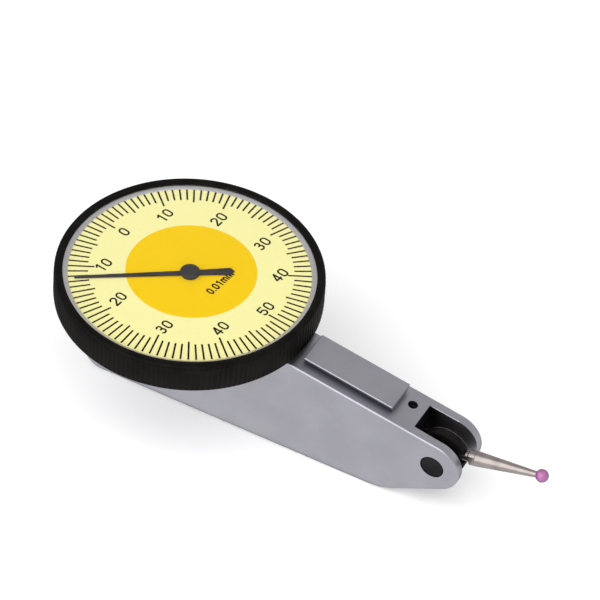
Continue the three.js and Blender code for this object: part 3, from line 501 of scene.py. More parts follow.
# hand: dark grey enamel with a violet cast, satin
handEnamel = blastedMetal(
    "darkHandEnamel",
    {"dark": "2E2A2E", "light": "383439", "grain": 0.1, "clouds": 2.0, "roughness": 0.42,
     "spread": 0.05, "bump": 0.08, "depth": 0.01, "metallic": 0.0, "specular": 0.25},
)
# movement plates and gears: warm satin brass
movementBrass = turnedMetal(
    "satinMovementBrass",
    {"dark": "B8924A", "light": "CDA95C", "clouds": 2.0, "pitch": 0.1, "bump": 0.15,
     "depth": 0.01, "roughness": 0.3},
    "X",
)
# screws, arbors and bearings: plain turned steel with fine rings
plainSteel = turnedMetal(
    "turnedPlainSteel",
    {"dark": "A9A9AC", "light": "BDBDC0", "clouds": 1.5, "pitch": 0.12, "bump": 0.15,
     "depth": 0.01, "roughness": 0.28},
)
# hairspring: heat-blued strip
bluedSteel = turnedMetal(
    "bluedSpringSteel",
    {"dark": "2C3A63", "light": "405389", "clouds": 1.0, "pitch": 0.1, "bump": 0.05,
     "depth": 0.005, "roughness": 0.25},
)
# stylus: warm nickel, turned along its length, glossy enough to show a band of light
brightNickel = turnedMetal(
    "turnedNickelPlate",
    {"dark": "948C88", "light": "A59D99", "clouds": 1.5, "pitch": 0.22, "bump": 0.22,
     "depth": 0.01, "roughness": 0.3, "turn": (0.0, -plan["stylusTilt"], 0.0)},
    "X",
)
# reflector: smooth light grey cone that carries soft broad highlights
polishedRing = turnedMetal(
    "polishedReflector",
    {"dark": "E6E4E5", "light": "EEECED", "clouds": 12.0, "pitch": 0.4, "bump": 0.02,
     "depth": 0.002, "roughness": 0.3},
)
# dial: pale lemon enamel, even and nearly matt under the crystal
dialEnamel = paintedSheet(
    "paleYellowEnamel",
    {"dark": "FFF8A9", "light": "FFFAB2", "grain": 0.6, "bump": 0.02, "depth": 0.005,
     "roughness": 0.55, "specular": 0.1},
)
# dial's centre: deep golden yellow ink
goldInk = paintedSheet(
    "goldenYellowInk",
    {"dark": "FBCF00", "light": "FFD300", "grain": 0.6, "bump": 0.02, "depth": 0.005,
     "roughness": 0.55, "specular": 0.02},
)
# scale and numerals: olive black ink
blackInk = paintedSheet(
    "blackScreenInk",
    {"dark": "0E0C04", "light": "161307", "grain": 0.2, "bump": 0.03, "depth": 0.003,
     "roughness": 0.55, "specular": 0.1},
)
# crystal: clear, with next to no veil over the dial
acrylic = clearAcrylic(
    "castAcrylic",
    {"waves": 6.0, "bump": 0.02, "depth": 0.05, "ior": 1.49, "sheen": 0.08},
)
# ball and jewels: polished pink corundum, a little clear, with plum painted shade towards the rim
ruby = polishedStone(
    "syntheticRuby",
    {"dark": "AC5E9C", "light": "C076AF", "rim": "662460", "rimShadeBlend": 0.52, "clouds": 1.1,
     "ior": 1.77, "roughness": 0.1, "clear": 0.2},
)
print("materials made")


# Finishes of the CAD nodes that stay

finishOf = {
    "satin_body": satinChrome,
    "black_steel": blackOxide,
    "screw_steel": plainSteel,
    "movement_brass": movementBrass,
    "ruby": ruby,
    "blued_steel": bluedSteel,
    "nickel": brightNickel,
    "hand_paint": handEnamel,
    "black_bezel": blackAnodised,
    "crystal": acrylic,
    "bright_ring": polishedRing,
    "dial_print": dialEnamel,
}
for entry in frame["record"]["subparts"]:
    slots = nodes[entry["node"]].data.materials
    if len(slots):
        for index in range(len(slots)):
            slots[index] = finishOf[entry["material_slot"]]
    else:
        slots.append(finishOf[entry["material_slot"]])
print("finishes on the CAD nodes")


# Body: one block with rounded edges, forked nose and dovetail rail

bodyShape = {
    "rear": -15.0,
    "rearRound": 3.0,
    "bellyRound": 10.5,
    "undersideRise": math.radians(27.7),
    "padTop": 18.3,
    "padFront": 17.4,
    "edgeRound": 0.6,
    "edgeSteps": 6,
    "arcSteps": 40,
    "slotBack": 39.2,
    "slotEdge": 0.16,
    "boreRadius": 1.9,
    "stopHole": (37.1, 1.0, 0.75),
    "stopHoleFloor": 9.0,
    # the hollow for the movement, as X and Z, and the window that lets the lever into it
    "hollow": [(-9.5, 1.5), (30.6, 1.5), (36.2, 4.84), (36.2, 12.76), (13.5, 16.68), (13.5, 20),
               (-9.5, 20)],
    "window": ((35.2, -1.85, 6.14), (40.2, 1.85, 11.74)),
}


def floorHeight(x):
    slope = plan["floorSlope"]
    return plan["pivotZ"] + plan["noseRadius"] / math.cos(slope) + (plan["pivotX"] - x) * math.tan(slope)


def arcInto(bm, start, centre, angle, steps):
    # a chain of edges turned about a centre in the X and Z plane; gives its first and last vertex
    first = bm.verts.new((start[0], 0, start[1]))
    made = bmesh.ops.spin(
        bm,
        geom=[first],
        cent=(centre[0], 0, centre[1]),
        axis=(0, -1, 0),
        angle=angle,
        steps=steps,
    )
    return first, made["geom_last"][0]


def bodyOutline(bm):
    shape = bodyShape
    rise = shape["undersideRise"]
    slope = plan["floorSlope"]
    x, z, r = plan["pivotX"], plan["pivotZ"], plan["noseRadius"]
    tangentX = x + r * math.sin(rise)
    tangentZ = z - r * math.cos(rise)
    bellyX = tangentX - tangentZ / math.tan(rise) - shape["bellyRound"] * math.tan(rise / 2)
    rearX = shape["rear"] + shape["rearRound"]
    arcs = [
        arcInto(bm, (shape["rear"], shape["rearRound"]), (rearX, shape["rearRound"]), math.pi / 2, 12),
        arcInto(bm, (bellyX, 0), (bellyX, shape["bellyRound"]), rise, 14),
        arcInto(bm, (tangentX, tangentZ), (x, z), math.pi - rise - slope, shape["arcSteps"]),
    ]
    corners = [
        bm.verts.new((shape["padFront"], 0, floorHeight(shape["padFront"]))),
        bm.verts.new((shape["padFront"], 0, shape["padTop"])),
        bm.verts.new((shape["rear"], 0, shape["padTop"])),
    ]
    bm.edges.new((arcs[0][1], arcs[1][0]))
    bm.edges.new((arcs[1][1], arcs[2][0]))
    bm.edges.new((arcs[2][1], corners[0]))
    bm.edges.new((corners[0], corners[1]))
    bm.edges.new((corners[1], corners[2]))
    bm.edges.new((corners[2], arcs[0][0]))


def bodyBlock():
    shape = bodyShape
    half = plan["bodyWidth"] / 2
    slotHalf = plan["slotWidth"] / 2
    bm = bmesh.new()
    bodyOutline(bm)
    bmesh.ops.contextual_create(bm, geom=list(bm.edges))
    bmesh.ops.translate(bm, vec=(0, -half, 0), verts=bm.verts)
    grown = bmesh.ops.extrude_face_region(bm, geom=list(bm.faces))
    moved = [v for v in grown["geom"] if isinstance(v, bmesh.types.BMVert)]
    bmesh.ops.translate(bm, vec=(0, plan["bodyWidth"], 0), verts=moved)
    bmesh.ops.recalc_face_normals(bm, faces=bm.faces)
    rims = [e for e in bm.edges if abs(e.verts[0].co.y - e.verts[1].co.y) < 1e-6]
    bevelEdges(bm, rims, shape["edgeRound"], shape["edgeSteps"])
    past = plan["bodyWidth"]
    noseEnd = plan["pivotX"] + 2 * plan["noseRadius"]
    bore = rodOf(shape["boreRadius"], -past, past, 64)
    turned(bore, Matrix.Translation(pivot) @ Matrix.Rotation(math.pi / 2, 4, "X"))
    holeX, holeY, holeRadius = shape["stopHole"]
    hole = rodOf(holeRadius, shape["stopHoleFloor"], shape["padTop"], 32)
    turned(hole, Matrix.Translation((holeX, holeY, 0)))
    hollow = prismOf([(x, -slotHalf, z) for x, z in shape["hollow"]], (0, plan["slotWidth"], 0))
    cutters = [
        boxOf((shape["slotBack"], -slotHalf, -1), (noseEnd, slotHalf, shape["padTop"])),
        hollow,
        boxOf(*shape["window"]),
        bore,
        hole,
    ]
    block = cutBm(bm, cutters)
    rims = [
        e for e in sharpEdges(block, 60)
        if all(abs(abs(v.co.y) - slotHalf) < 1e-3 and v.co.x > shape["slotBack"] - 1e-3 for v in e.verts)
        and max(v.co.x for v in e.verts) > shape["slotBack"] + 1e-3
    ]
    bevelEdges(block, rims, shape["slotEdge"], 2)
    return block


pieceOf("indicator_body", bodyBlock(), "body", satinChrome, ["body_frame"], 40)

railShape = {
    "start": 20.85,
    "end": 35.3,
    "width": 5.9,
    "height": 1.6,
    "flank": math.radians(60),
    "longEdge": 0.3,
    "endEdge": 0.1,
    "sink": 0.4,
}


def dovetailRail():
    shape = railShape
    slope = plan["floorSlope"]
    height, sink = shape["height"], shape["sink"]
    start = shape["start"] - height * math.sin(slope)
    length = (shape["end"] - start) / math.cos(slope)
    halfTop = shape["width"] / 2
    halfRoot = halfTop - height / math.tan(shape["flank"])
    section = [
        (0, -halfRoot, -sink),
        (0, halfRoot, -sink),
        (0, halfRoot, 0),
        (0, halfTop, height),
        (0, -halfTop, height),
        (0, -halfRoot, 0),
    ]
    bm = prismOf(section, (length, 0, 0))
    ridges = [e for e in bm.edges if all(abs(v.co.y) > halfTop - 0.01 for v in e.verts)]
    long = [e for e in ridges if abs(e.verts[0].co.x - e.verts[1].co.x) > 1]
    bevelEdges(bm, long, shape["longEdge"], 5)
    ends = [
        e for e in bm.edges
        if abs(e.verts[0].co.x - e.verts[1].co.x) < 1e-6 and min(v.co.z for v in e.verts) > -0.01
        and max(v.co.z for v in e.verts) > 0.01
    ]
    bevelEdges(bm, ends, shape["endEdge"], 2)
    place = Matrix.Translation((start, 0, floorHeight(start))) @ Matrix.Rotation(slope, 4, "Y")
    return turned(bm, place)


pieceOf("dovetail_rail", dovetailRail(), "body", satinChrome)

caseShape = {
    "radius": 18.8,
    "wall": 1.0,
    "low": 18.3,
    "floor": 1.0,
    "rim": 21.2,
    "grooveLow": 19.65,
    "grooveHigh": 20.25,
    "grooveDepth": 0.5,
    "edge": 0.08,
    "opening": (-9.5, 13.5),
    "screws": [(-12.2, -2.2), (-12.2, 2.2), (15.45, -2.2), (15.45, 2.2)],
    "screwRadius": 0.55,
}


def dialCase():
    shape = caseShape
    r, low, rim, edge = shape["radius"], shape["low"], shape["rim"], shape["edge"]
    floorTop = low + shape["floor"]
    cup = spinAboutZ(
        [(0, low), (r - edge, low), (r, low + edge), (r, shape["grooveLow"]),
         (r - shape["grooveDepth"], shape["grooveLow"]), (r - shape["grooveDepth"], shape["grooveHigh"]),
         (r, shape["grooveHigh"]), (r, rim - edge), (r - edge, rim), (r - shape["wall"] + edge, rim),
         (r - shape["wall"], rim - edge), (r - shape["wall"], floorTop), (0, floorTop)],
        160,
        False,
    )
    rear, front = shape["opening"]
    slotHalf = plan["slotWidth"] / 2
    cutters = [boxOf((rear, -slotHalf, low - 1), (front, slotHalf, floorTop + 1))]
    for x, y in shape["screws"]:
        hole = rodOf(shape["screwRadius"], low - 1, floorTop + 1, 24)
        cutters.append(turned(hole, Matrix.Translation((x, y, 0))))
    return cutBm(cup, cutters)


pieceOf("turned_dial_case", dialCase(), "body", satinChrome, ["dial_case"], 40)
print("body, rail and dial case made")


# Bezel: turned ring with a straight knurl round its side

bezelShape = {
    "radius": 20.0,
    "knurlDepth": 0.12,
    "ridges": 160,
    "stepsPerRidge": 8,
    "low": 18.65,
    "high": 23.5,
    "knurlLow": 19.03,
    "knurlHigh": 22.95,
    "rimRound": 0.42,
    "bore": 19.1,
    "sight": 18.7,
    "seat": 23.2,
    "groove": 19.4,
    "grooveLow": 19.6,
    "grooveHigh": 20.3,
}


def bezelRing():
    shape = bezelShape
    r, low, high, bore, sight = (shape[key] for key in ("radius", "low", "high", "bore", "sight"))
    knurlLow, knurlHigh, rimRound = (shape[key] for key in ("knurlLow", "knurlHigh", "rimRound"))
    rim = []
    for step in range(6):
        angle = step / 5 * math.pi / 2
        rim.append((r - 0.04 - rimRound * (1 - math.cos(angle)), high - rimRound * (1 - math.sin(angle))))
    profile = [
        (bore, low),
        (r - 0.2, low),
        (r - 0.1, low + 0.04),
        (r - 0.06, low + 0.14),
        (r - 0.06, low + 0.3),
        (r - 0.02, knurlLow),
        (r, knurlLow + 0.1),
        (r, (knurlLow + knurlHigh) / 2),
        (r, knurlHigh - 0.1),
        (r - 0.02, knurlHigh),
        (r - 0.1, high - 0.52),
        (r - 0.1, high - 0.46),
        *rim,
        (sight + 0.18, high),
        (sight + 0.06, high - 0.05),
        (sight, high - 0.16),
        (sight, shape["seat"]),
        (bore, shape["seat"]),
        (bore, shape["grooveHigh"]),
        (shape["groove"], shape["grooveHigh"]),
        (shape["groove"], shape["grooveLow"]),
        (bore, shape["grooveLow"]),
    ]
    bm = spinAboutZ(profile, shape["ridges"] * shape["stepsPerRidge"])
    for vert in bm.verts:
        x, y, z = vert.co
        radius = math.hypot(x, y)
        if radius < r - 0.05 or not knurlLow - 0.01 < z < knurlHigh + 0.01:
            continue
        wave = 0.5 + 0.5 * math.cos(shape["ridges"] * math.atan2(y, x))
        share = (radius - shape["knurlDepth"] * (1 - wave) ** 1.5) / radius
        vert.co = (x * share, y * share, z)
    return bm


pieceOf("knurled_bezel", bezelRing(), "bezel", blackAnodised, ["bezel"], 50)

crystalShape = {"radius": 19.0, "sight": 18.6, "under": 22.9, "thickness": 0.3, "dome": 0.85, "rings": 14}


def crystalDisc():
    # flat rim that the bezel holds, and a dome steep at its edge and nearly flat on top
    shape = crystalShape
    upper, lower = [], []
    for ring in range(shape["rings"] + 1):
        share = 1 - ring / shape["rings"]
        rise = shape["dome"] * (1 - share ** 4)
        upper.append((shape["sight"] * share, shape["under"] + shape["thickness"] + rise))
        lower.insert(0, (shape["sight"] * share, shape["under"] + rise))
    edge = [(shape["radius"], shape["under"]), (shape["radius"], shape["under"] + shape["thickness"])]
    return spinAboutZ([*lower, *edge, *upper], 160, False)


pieceOf("domed_crystal", crystalDisc(), "bezel", acrylic, ["crystal"], 60)

reflectorShape = {"inner": 17.9, "outer": 19.0, "sight": 18.7, "high": 22.9}


def reflectorCone():
    shape = reflectorShape
    inner, outer, sight, high = (shape[key] for key in ("inner", "outer", "sight", "high"))
    low = plan["dialTop"]
    return spinAboutZ(
        [(inner, low), (outer, low), (outer, high), (sight, high), (sight - 0.1, high - 0.02),
         (inner + 0.04, low + 0.02)],
        192,
    )


pieceOf("reflector_cone", reflectorCone(), "bezel", polishedRing, ["reflector_ring"], 40)
print("bezel, crystal and reflector made")


# Dial: enamelled plate with a golden centre, a scale of fine marks and upright numerals

dialShape = {
    "plateRadius": 19.0,
    "holeRadius": 1.0,
    "thickness": 0.4,
    "goldRadius": 9.7,
    "printShift": (-0.1, 0.6),
    "tickOuter": 18.3,
    "tickWidth": 0.28,
    "shortInner": 15.15,
    "mediumInner": 14.65,
    "longInner": 14.2,
    "numeralRadius": 12.5,
    "numeralHeight": 1.78,
    "inkHeight": 0.012,
    "goldHeight": 0.006,
    "unitHeight": 1.28,
    "unitNarrow": 0.86,
    "stroke": 0.16,
    "unitStroke": 0.23,
    # how far each numeral stands aside from the even ring, right and up, from 0 round to the left 10
    "numeralNudge": [(0.25, 0.2), (-0.5, 0.1), (-0.55, -0.3), (-0.6, -0.7), (0.3, -0.4),
                     (0.7, -0.6), (0.6, -0.35), (0.15, -0.15), (0.45, 0.85), (0.1, 0.6)],
    "unitPlace": (0.75, -4.7),
}
printCentre = Matrix.Translation((*dialShape["printShift"], plan["dialTop"]))


def dialFace():
    shape = dialShape
    top = plan["dialTop"]
    low = top - shape["thickness"]
    return spinAboutZ(
        [(shape["holeRadius"], low), (shape["plateRadius"], low), (shape["plateRadius"], top),
         (shape["holeRadius"], top)],
        160,
    )


def goldDisc():
    shape = dialShape
    top = plan["dialTop"]
    disc = turned(rodOf(shape["goldRadius"], 0, shape["goldHeight"], 160), printCentre)
    return cutBm(disc, [rodOf(shape["holeRadius"], top - 1, top + 1, 48)])


def scaleTicks():
    shape = dialShape
    half = shape["tickWidth"] / 2
    parts = []
    for division in range(plan["divisions"]):
        length = "shortInner"
        if division % 5 == 0:
            length = "longInner" if division % 10 == 0 else "mediumInner"
        angle = plan["zeroAzimuth"] - division / plan["divisions"] * math.tau
        tick = boxOf((shape[length], -half, 0), (shape["tickOuter"], half, shape["inkHeight"]))
        parts.append(turned(tick, printCentre @ Matrix.Rotation(angle, 4, "Z")))
    return joinedBm(parts)


# Characters are drawn with bars (from and to) and arcs (centre, radius, from and to in degrees) in a
# square as high as a capital; advance is how far on the next character stands
letterShape = {
    "arcSteps": 20,
    "0": {
        "advance": 0.8,
        "bars": [(-0.25, 0.32, -0.25, 0.68), (0.25, 0.32, 0.25, 0.68)],
        "arcs": [(0, 0.68, 0.25, 0, 180), (0, 0.32, 0.25, 180, 360)],
    },
    "1": {
        "advance": 0.8,
        "bars": [(0.08, 0, 0.08, 1), (-0.19, 0.73, 0.05, 0.93)],
        "arcs": [],
    },
    "2": {
        "advance": 0.8,
        "bars": [(0.2, 0.55, -0.26, 0.09), (-0.32, 0.07, 0.32, 0.07)],
        "arcs": [(0, 0.68, 0.25, -35, 170)],
    },
    "3": {
        "advance": 0.8,
        "bars": [(-0.1, 0.53, 0.02, 0.53)],
        "arcs": [(0, 0.73, 0.2, -90, 160), (0, 0.3, 0.23, -160, 90)],
    },
    "4": {
        "advance": 0.8,
        "bars": [(0.12, 0, 0.12, 1), (-0.34, 0.29, 0.33, 0.29), (-0.28, 0.3, 0.1, 0.95)],
        "arcs": [],
    },
    "5": {
        "advance": 0.8,
        "bars": [(-0.2, 0.93, 0.28, 0.93), (-0.2, 0.98, -0.25, 0.47)],
        "arcs": [(-0.01, 0.33, 0.26, -160, 138)],
    },
    "m": {
        "advance": 1.12,
        "bars": [(-0.4, 0, -0.4, 0.72), (0, 0, 0, 0.47), (0.4, 0, 0.4, 0.47)],
        "arcs": [(-0.2, 0.47, 0.2, 0, 180), (0.2, 0.47, 0.2, 0, 180)],
    },
    ".": {"advance": 0.4, "bars": [(0, 0, 0, 0.14)], "arcs": []},
}


def barStroke(half, x0, y0, x1, y1):
    length = math.hypot(x1 - x0, y1 - y0)
    bar = boxOf((0, -half, 0), (length, half, dialShape["inkHeight"]))
    angle = math.atan2(y1 - y0, x1 - x0)
    return turned(bar, Matrix.Translation((x0, y0, 0)) @ Matrix.Rotation(angle, 4, "Z"))


def arcStroke(half, x, y, radius, start, end):
    ink = dialShape["inkHeight"]
    bm = bmesh.new()
    ends = [(radius - half, 0, 0), (radius + half, 0, 0), (radius + half, 0, ink), (radius - half, 0, ink)]
    section = bm.faces.new([bm.verts.new(corner) for corner in ends])
    bmesh.ops.spin(
        bm,
        geom=[section, *section.edges, *section.verts],
        cent=(0, 0, 0),
        axis=(0, 0, 1),
        angle=math.radians(end - start),
        steps=letterShape["arcSteps"],
    )
    bmesh.ops.recalc_face_normals(bm, faces=bm.faces)
    return turned(bm, Matrix.Translation((x, y, 0)) @ Matrix.Rotation(math.radians(start), 4, "Z"))


def wordOf(characters, height, stroke, narrow=1.0):
    # a printed word centred on the origin, in the X and Y plane
    total = sum(letterShape[c]["advance"] for c in characters)
    reach = -total / 2
    parts = []
    for c in characters:
        glyph = letterShape[c]
        reach += glyph["advance"] / 2
        lines = [barStroke(stroke / 2, *bar) for bar in glyph["bars"]]
        lines += [arcStroke(stroke / 2, *arc) for arc in glyph["arcs"]]
        letter = cutBm(lines[0], lines[1:], "UNION")
        parts.append(turned(letter, Matrix.Translation((reach, -0.5, 0))))
        reach += glyph["advance"] / 2
    word = joinedBm(parts)
    bmesh.ops.scale(word, vec=(height * narrow, height, 1), verts=word.verts)
    return word


def scaleNumerals():
    shape = dialShape
    upright = Matrix.Rotation(plan["zeroAzimuth"] - math.pi / 2, 4, "Z")
    parts = []
    for tens in range(10):
        number = tens * 10 if tens <= 5 else 100 - tens * 10
        angle = -tens / 10 * math.tau
        place = Vector((-math.sin(angle), math.cos(angle), 0)) * shape["numeralRadius"]
        place += Vector((*shape["numeralNudge"][tens], 0))
        word = wordOf(str(number), shape["numeralHeight"], shape["stroke"])
        parts.append(turned(word, printCentre @ upright @ Matrix.Translation(place)))
    unit = wordOf("0.01mm", shape["unitHeight"], shape["unitStroke"], shape["unitNarrow"])
    parts.append(turned(unit, printCentre @ upright @ Matrix.Translation((*shape["unitPlace"], 0))))
    return joinedBm(parts)


pieceOf("dial_face", dialFace(), "bezel", dialEnamel, ["dial_plate"], 40)
pieceOf("dial_gold_centre", goldDisc(), "bezel", goldInk)
pieceOf("dial_scale_marks", scaleTicks(), "bezel", blackInk)
pieceOf("dial_numerals", scaleNumerals(), "bezel", blackInk)
print("dial printed")


# Hand: thin blade with a pointed tail, and the round hub that holds it

handShape = {
    "reach": 17.0,
    "tail": 6.6,
    "tailPoint": 0.55,
    "rootWidth": 0.98,
    "tipWidth": 0.5,
    "tailWidth": 1.4,
    "low": 22.85,
    "thickness": 0.12,
    "edge": 0.03,
    "foot": 22.75,
    "top": 23.42,
    "skirt": 1.42,
    "hub": 1.45,
    "bore": 0.35,
    "dish": 0.45,
    "postTop": 23.25,
}


def handBlade():
    shape = handShape
    outline = [
        (-shape["tail"], 0, shape["low"]),
        (-shape["tail"] + shape["tailPoint"], -shape["tailWidth"] / 2, shape["low"]),
        (0, -shape["rootWidth"] / 2, shape["low"]),
        (shape["reach"], -shape["tipWidth"] / 2, shape["low"]),
        (shape["reach"], shape["tipWidth"] / 2, shape["low"]),
        (0, shape["rootWidth"] / 2, shape["low"]),
        (-shape["tail"] + shape["tailPoint"], shape["tailWidth"] / 2, shape["low"]),
    ]
    bm = prismOf(outline, (0, 0, shape["thickness"]))
    bevelEdges(bm, sharpEdges(bm, 60), shape["edge"], 2)
    return turned(bm, Matrix.Rotation(plan["handAzimuth"], 4, "Z"))


def handBoss():
    shape = handShape
    bladeTop = shape["low"] + shape["thickness"]
    foot, top, skirt, hub, bore = (shape[key] for key in ("foot", "top", "skirt", "hub", "bore"))
    dish = shape["dish"]
    profile = [
        (0, shape["postTop"]), (bore, shape["postTop"]), (bore, foot), (skirt - 0.08, foot),
        (skirt, foot + 0.08), (skirt, bladeTop + 0.005), (hub - 0.07, bladeTop + 0.005),
        (hub, bladeTop + 0.06), (hub, top - 0.09), (hub - 0.09, top), (dish + 0.1, top),
        (dish, top - 0.04), (0, top - 0.04),
    ]
    return spinAboutZ(profile, 64, False)


pieceOf("hand_blade", handBlade(), "hand", handEnamel, ["pointer_hand"])
pieceOf("hand_boss", handBoss(), "hand", handEnamel, ["hand_hub"], 50)
print("hand made")


# Nose: hub, lever, plugs, stylus and ball

acrossY = Matrix.Translation(pivot) @ Matrix.Rotation(-math.pi / 2, 4, "X")
alongStylus = Matrix.Translation(pivot) @ Matrix.Rotation(-plan["stylusTilt"], 4, "Y")
alongX = Matrix.Rotation(math.pi / 2, 4, "Y")

hubShape = {
    "radius": 3.75,
    "half": 0.85,
    "bore": 0.8,
    "centre": 2.0,
    "socket": (0.7, 2.1, 4.5),
    "notchHalf": 0.78,
    "notchFrom": 3.07,
}


def stylusHub():
    shape = hubShape
    r, half, bore, centre = (shape[key] for key in ("radius", "half", "bore", "centre"))
    upper = [
        (r, half - 0.26), (r - 0.06, half - 0.11), (r - 0.22, half - 0.05), (centre + 0.1, half - 0.05),
        (centre, half), (bore, half),
    ]
    lower = [(radius, -height) for radius, height in reversed(upper)]
    disc = turned(spinAboutZ([*lower, *upper], 128), acrossY)
    socket = turned(rodOf(*shape["socket"], 32), alongStylus @ alongX)
    notchHalf = shape["notchHalf"]
    notch = turned(boxOf((shape["notchFrom"], -2, -notchHalf), (5, 2, notchHalf)), alongStylus)
    return cutBm(disc, [socket, notch])


leverShape = {
    "rest": math.radians(2.032),
    "discRadius": 3.0,
    "bore": 0.8,
    "near": 0.95,
    "far": 1.35,
    # half heights of the bar along X from the pivot, and half its thickness
    "bar": [(-6.9, 1.36), (-23.18, 0.75), (-23.93, 0.38)],
    "barHalf": 0.58,
    "step": (-7.1, -4.1, 0.6, 1.4),
    "link": (-5.0, -2.4, 0.02, 1.3),
    "edge": 0.06,
}


def leverArm():
    # the four forms reach into one another with no two faces in one plane, so that they join cleanly
    shape = leverShape
    r, bore, near, far = (shape[key] for key in ("discRadius", "bore", "near", "far"))
    disc = spinAboutZ(
        [(bore, near), (r - 0.05, near), (r, near + 0.05), (r, far - 0.05), (r - 0.05, far), (bore, far)],
        96,
    )
    turned(disc, acrossY)
    half = shape["barHalf"]
    outline = [(x, -half, z) for x, z in shape["bar"]]
    outline += [(x, -half, -z) for x, z in reversed(shape["bar"])]
    bar = prismOf(outline, (0, 2 * half, 0))
    rear, front, inset, high = shape["link"]
    link = boxOf((rear, near + inset, -high), (front, far - inset, high))
    rear, front, out, high = shape["step"]
    step = boxOf((rear, -out, -high), (front, far, high))
    lever = Matrix.Translation(pivot) @ Matrix.Rotation(shape["rest"], 4, "Y")
    for part in (bar, link, step):
        bevelEdges(part, sharpEdges(part, 50), shape["edge"], 2)
        turned(part, lever)
    return cutBm(disc, [link, step, bar], "UNION")


plugShape = {"radius": 1.85, "face": 3.95, "back": 3.5, "edge": 0.12}


def pivotPlug(side):
    r, face, back, edge = (plugShape[key] for key in ("radius", "face", "back", "edge"))
    bm = spinAboutZ(
        [(0, back), (r, back), (r, face - edge), (r - edge, face), (r - 0.45, face - 0.01),
         (r - 0.6, face - 0.06), (0, face - 0.08)],
        72,
        False,
    )
    flip = Matrix.Rotation(math.pi, 4, "X") if side < 0 else Matrix.Identity(4)
    return turned(bm, acrossY @ flip)


stylusShape = {
    # radius and distance from the pivot: root, two steps, collar, long taper
    "profile": [(0, 2.16), (0.69, 2.16), (0.69, 3.3), (0.76, 3.36), (0.76, 4.12), (0.68, 4.18),
                (0.68, 4.28), (1.04, 4.32), (1.15, 4.45), (1.15, 5.4), (1.1, 5.45), (1.14, 5.5),
                (0.48, 15.1), (0.46, 15.16), (0, 15.2)],
    "flatHalf": 0.84,
    "flats": (4.2, 5.45),
    "ballRadius": 1.0,
    "ballAt": 16.0,
}


def stylusShank():
    shape = stylusShape
    bm = spinAboutZ(shape["profile"], 64, False)
    half = shape["flatHalf"]
    start, end = shape["flats"]
    flats = [boxOf((-3, half, start), (3, 3, end)), boxOf((-3, -3, start), (3, -half, end))]
    return turned(cutBm(bm, flats), alongStylus @ alongX)


def ballTip():
    shape = stylusShape
    bm = bmesh.new()
    bmesh.ops.create_uvsphere(bm, u_segments=64, v_segments=40, radius=shape["ballRadius"])
    return turned(bm, alongStylus @ Matrix.Translation((shape["ballAt"], 0, 0)))


pieceOf("stylus_disc", stylusHub(), "stylus", hubOxide, ["stylus_hub"], 40)
pieceOf("lever_with_disc", leverArm(), "lever", burnishedSteel, ["lever_arm"], 40)
pieceOf("plug_near_side", pivotPlug(-1), "body", blackOxide, ["pivot_plug_near"], 40)
pieceOf("plug_far_side", pivotPlug(1), "body", blackOxide, ["pivot_plug_far"], 40)
pieceOf("stylus_shank", stylusShank(), "stylus", brightNickel, ["stylus"], 35)
pieceOf("ball_tip", ballTip(), "stylus", ruby, ["ruby_ball"], 60)
print("nose and stylus made")


# Stage, light and camera

stageLook = {
    "floorColour": "F2F2F2",
    "floorLift": 0.18,
    "floorSize": 4.0,
    "floorDrop": 0.00003,
    "worldLight": 0.71,
    # strength of what the metal mirrors overhead, low in front and low behind
    "zenith": 0.75,
    "lowFront": 1.27,
    "lowBack": 0.4,
    # the heights and the slant of the view between which one of these goes over into another
    "overhead": (0.0, 0.9),
    "frontToBack": (-0.3, 0.7),
    "horizon": (-0.2, 0.05),
}

floorMesh = bmesh.new()
bmesh.ops.create_grid(floorMesh, x_segments=1, y_segments=1, size=stageLook["floorSize"])
bmesh.ops.translate(floorMesh, vec=(0, 0, -stageLook["floorDrop"]), verts=floorMesh.verts)
floorData = bpy.data.meshes.new("paleFloor")
floorMesh.to_mesh(floorData)
floorMesh.free()
floor = bpy.data.objects.new("paleFloor", floorData)
bpy.context.scene.collection.objects.link(floor)
floor.visible_glossy = False

floorPaint, floorTree = startMaterial("paleFloorPaint")[:2]
matt = addNode(floorTree, "ShaderNodeBsdfDiffuse", values={"Color": hexLinear(stageLook["floorColour"])})
glow = addNode(floorTree, "ShaderNodeEmission", values={"Strength": stageLook["floorLift"]})
dark = addNode(floorTree, "ShaderNodeEmission", values={"Strength": 0.0})
seen = addNode(floorTree, "ShaderNodeLightPath")
# the floor glows a little to the camera only
lift = addNode(
    floorTree,
    "ShaderNodeMixShader",
    links={"Fac": (seen, "Is Camera Ray"), 1: (dark, "Emission"), 2: (glow, "Emission")},
)
lifted = addNode(floorTree, "ShaderNodeAddShader", links={0: (matt, "BSDF"), 1: (lift, "Shader")})
finishMaterial(floorTree, lifted, "Shader")
floorData.materials.append(floorPaint)

world = bpy.data.worlds.new("studio")
bpy.context.scene.world = world
world.use_nodes = True
sky = world.node_tree
sky.nodes.clear()
path = addNode(sky, "ShaderNodeLightPath")
shown = combined(sky, "MAXIMUM", (path, "Is Camera Ray"), (path, "Is Transmission Ray"))
shownOrGloss = combined(sky, "MAXIMUM", (shown, "Value"), (path, "Is Glossy Ray"))
soft = addNode(sky, "ShaderNodeBackground", values={"Strength": stageLook["worldLight"]})
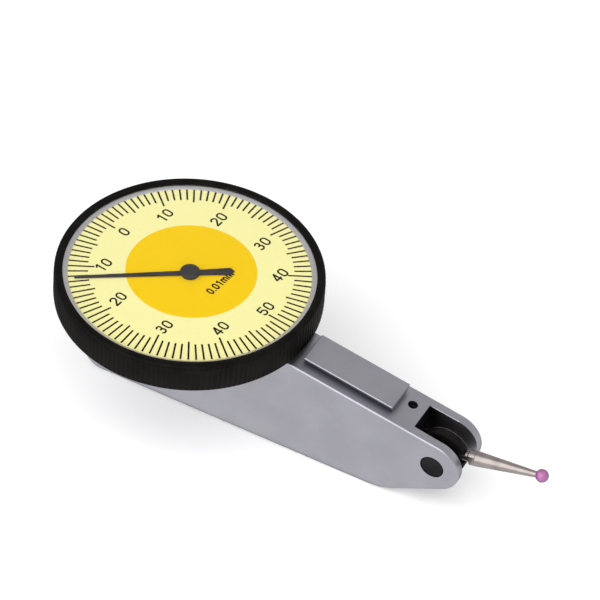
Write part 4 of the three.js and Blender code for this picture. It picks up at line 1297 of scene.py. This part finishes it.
# what shines back from the metal: white at the horizon, greyer overhead, and below the horizon bright in
# front and dark behind; slant grows from the near right to the far left
direction = addNode(sky, "ShaderNodeTexCoord")
axes = addNode(sky, "ShaderNodeSeparateXYZ", links={"Vector": (direction, "Generated")})
slant = combined(sky, "SUBTRACT", (axes, "Y"), (axes, "X"))
above = ranged(sky, (axes, "Z"), stageLook["overhead"], (1.0, stageLook["zenith"]))
frontAndBack = (stageLook["lowFront"], stageLook["lowBack"])
below = ranged(sky, (slant, "Value"), stageLook["frontToBack"], frontAndBack)
upward = ranged(sky, (axes, "Z"), stageLook["horizon"])
shade = addNode(
    sky,
    "ShaderNodeMix",
    links={"Factor": (upward, "Result"), "A": (below, "Result"), "B": (above, "Result")},
)
bright = combined(sky, "MAXIMUM", (shade, "Result"), (path, "Is Camera Ray"))
white = addNode(sky, "ShaderNodeBackground", links={"Strength": (bright, "Value")})
pick = addNode(
    sky,
    "ShaderNodeMixShader",
    links={"Fac": (shownOrGloss, "Value"), 1: (soft, "Background"), 2: (white, "Background")},
)
addNode(sky, "ShaderNodeOutputWorld", links={"Surface": (pick, "Shader")})

# glossy rays don't see the last two, which would show as hard white patches on the crystal and the rail
lampLook = {
    "aim": (0.016, 0, 0.012),
    "keySoftbox": {"from": (-0.26, -0.72, 0.64), "away": 0.8, "size": 1.15, "power": 6.6, "glossy": True},
    "fillSoftbox": {"from": (0.62, -0.75, 0.3), "away": 0.9, "size": 0.5, "power": 1.8, "glossy": False},
    "topSoftbox": {"from": (0.35, -0.15, 1.0), "away": 0.9, "size": 0.6, "power": 2.0, "glossy": False},
}


def softbox(name):
    look = lampLook[name]
    lamp = bpy.data.lights.new(name, "AREA")
    lamp.shape = "SQUARE"
    lamp.size = look["size"]
    lamp.energy = look["power"]
    thing = bpy.data.objects.new(name, lamp)
    bpy.context.scene.collection.objects.link(thing)
    aim = Vector(lampLook["aim"])
    thing.location = aim + Vector(look["from"]).normalized() * look["away"]
    thing.rotation_mode = "QUATERNION"
    thing.rotation_quaternion = (aim - thing.location).to_track_quat("-Z", "Y")
    thing.visible_glossy = look["glossy"]


softbox("keySoftbox")
softbox("fillSoftbox")
softbox("topSoftbox")

shot = {
    "place": (0.242754, -0.477222, 0.545173),
    "right": (0.87898, 0.47365, 0.05515),
    "up": (-0.36759, 0.59936, 0.71108),
    "back": (0.30375, -0.64530, 0.70094),
    "lens": 305.82,
    "sensor": 36.0,
}
lens = bpy.data.cameras.new("photoCamera")
lens.lens = shot["lens"]
lens.sensor_width = shot["sensor"]
lens.clip_start = 0.01
lens.clip_end = 50.0
camera = bpy.data.objects.new("photoCamera", lens)
bpy.context.scene.collection.objects.link(camera)
turn = Matrix((shot["right"], shot["up"], shot["back"])).transposed().to_4x4()
camera.matrix_world = Matrix.Translation(shot["place"]) @ turn
bpy.context.scene.camera = camera
bpy.context.scene.view_settings.view_transform = "Standard"
print("stage, light and camera set")
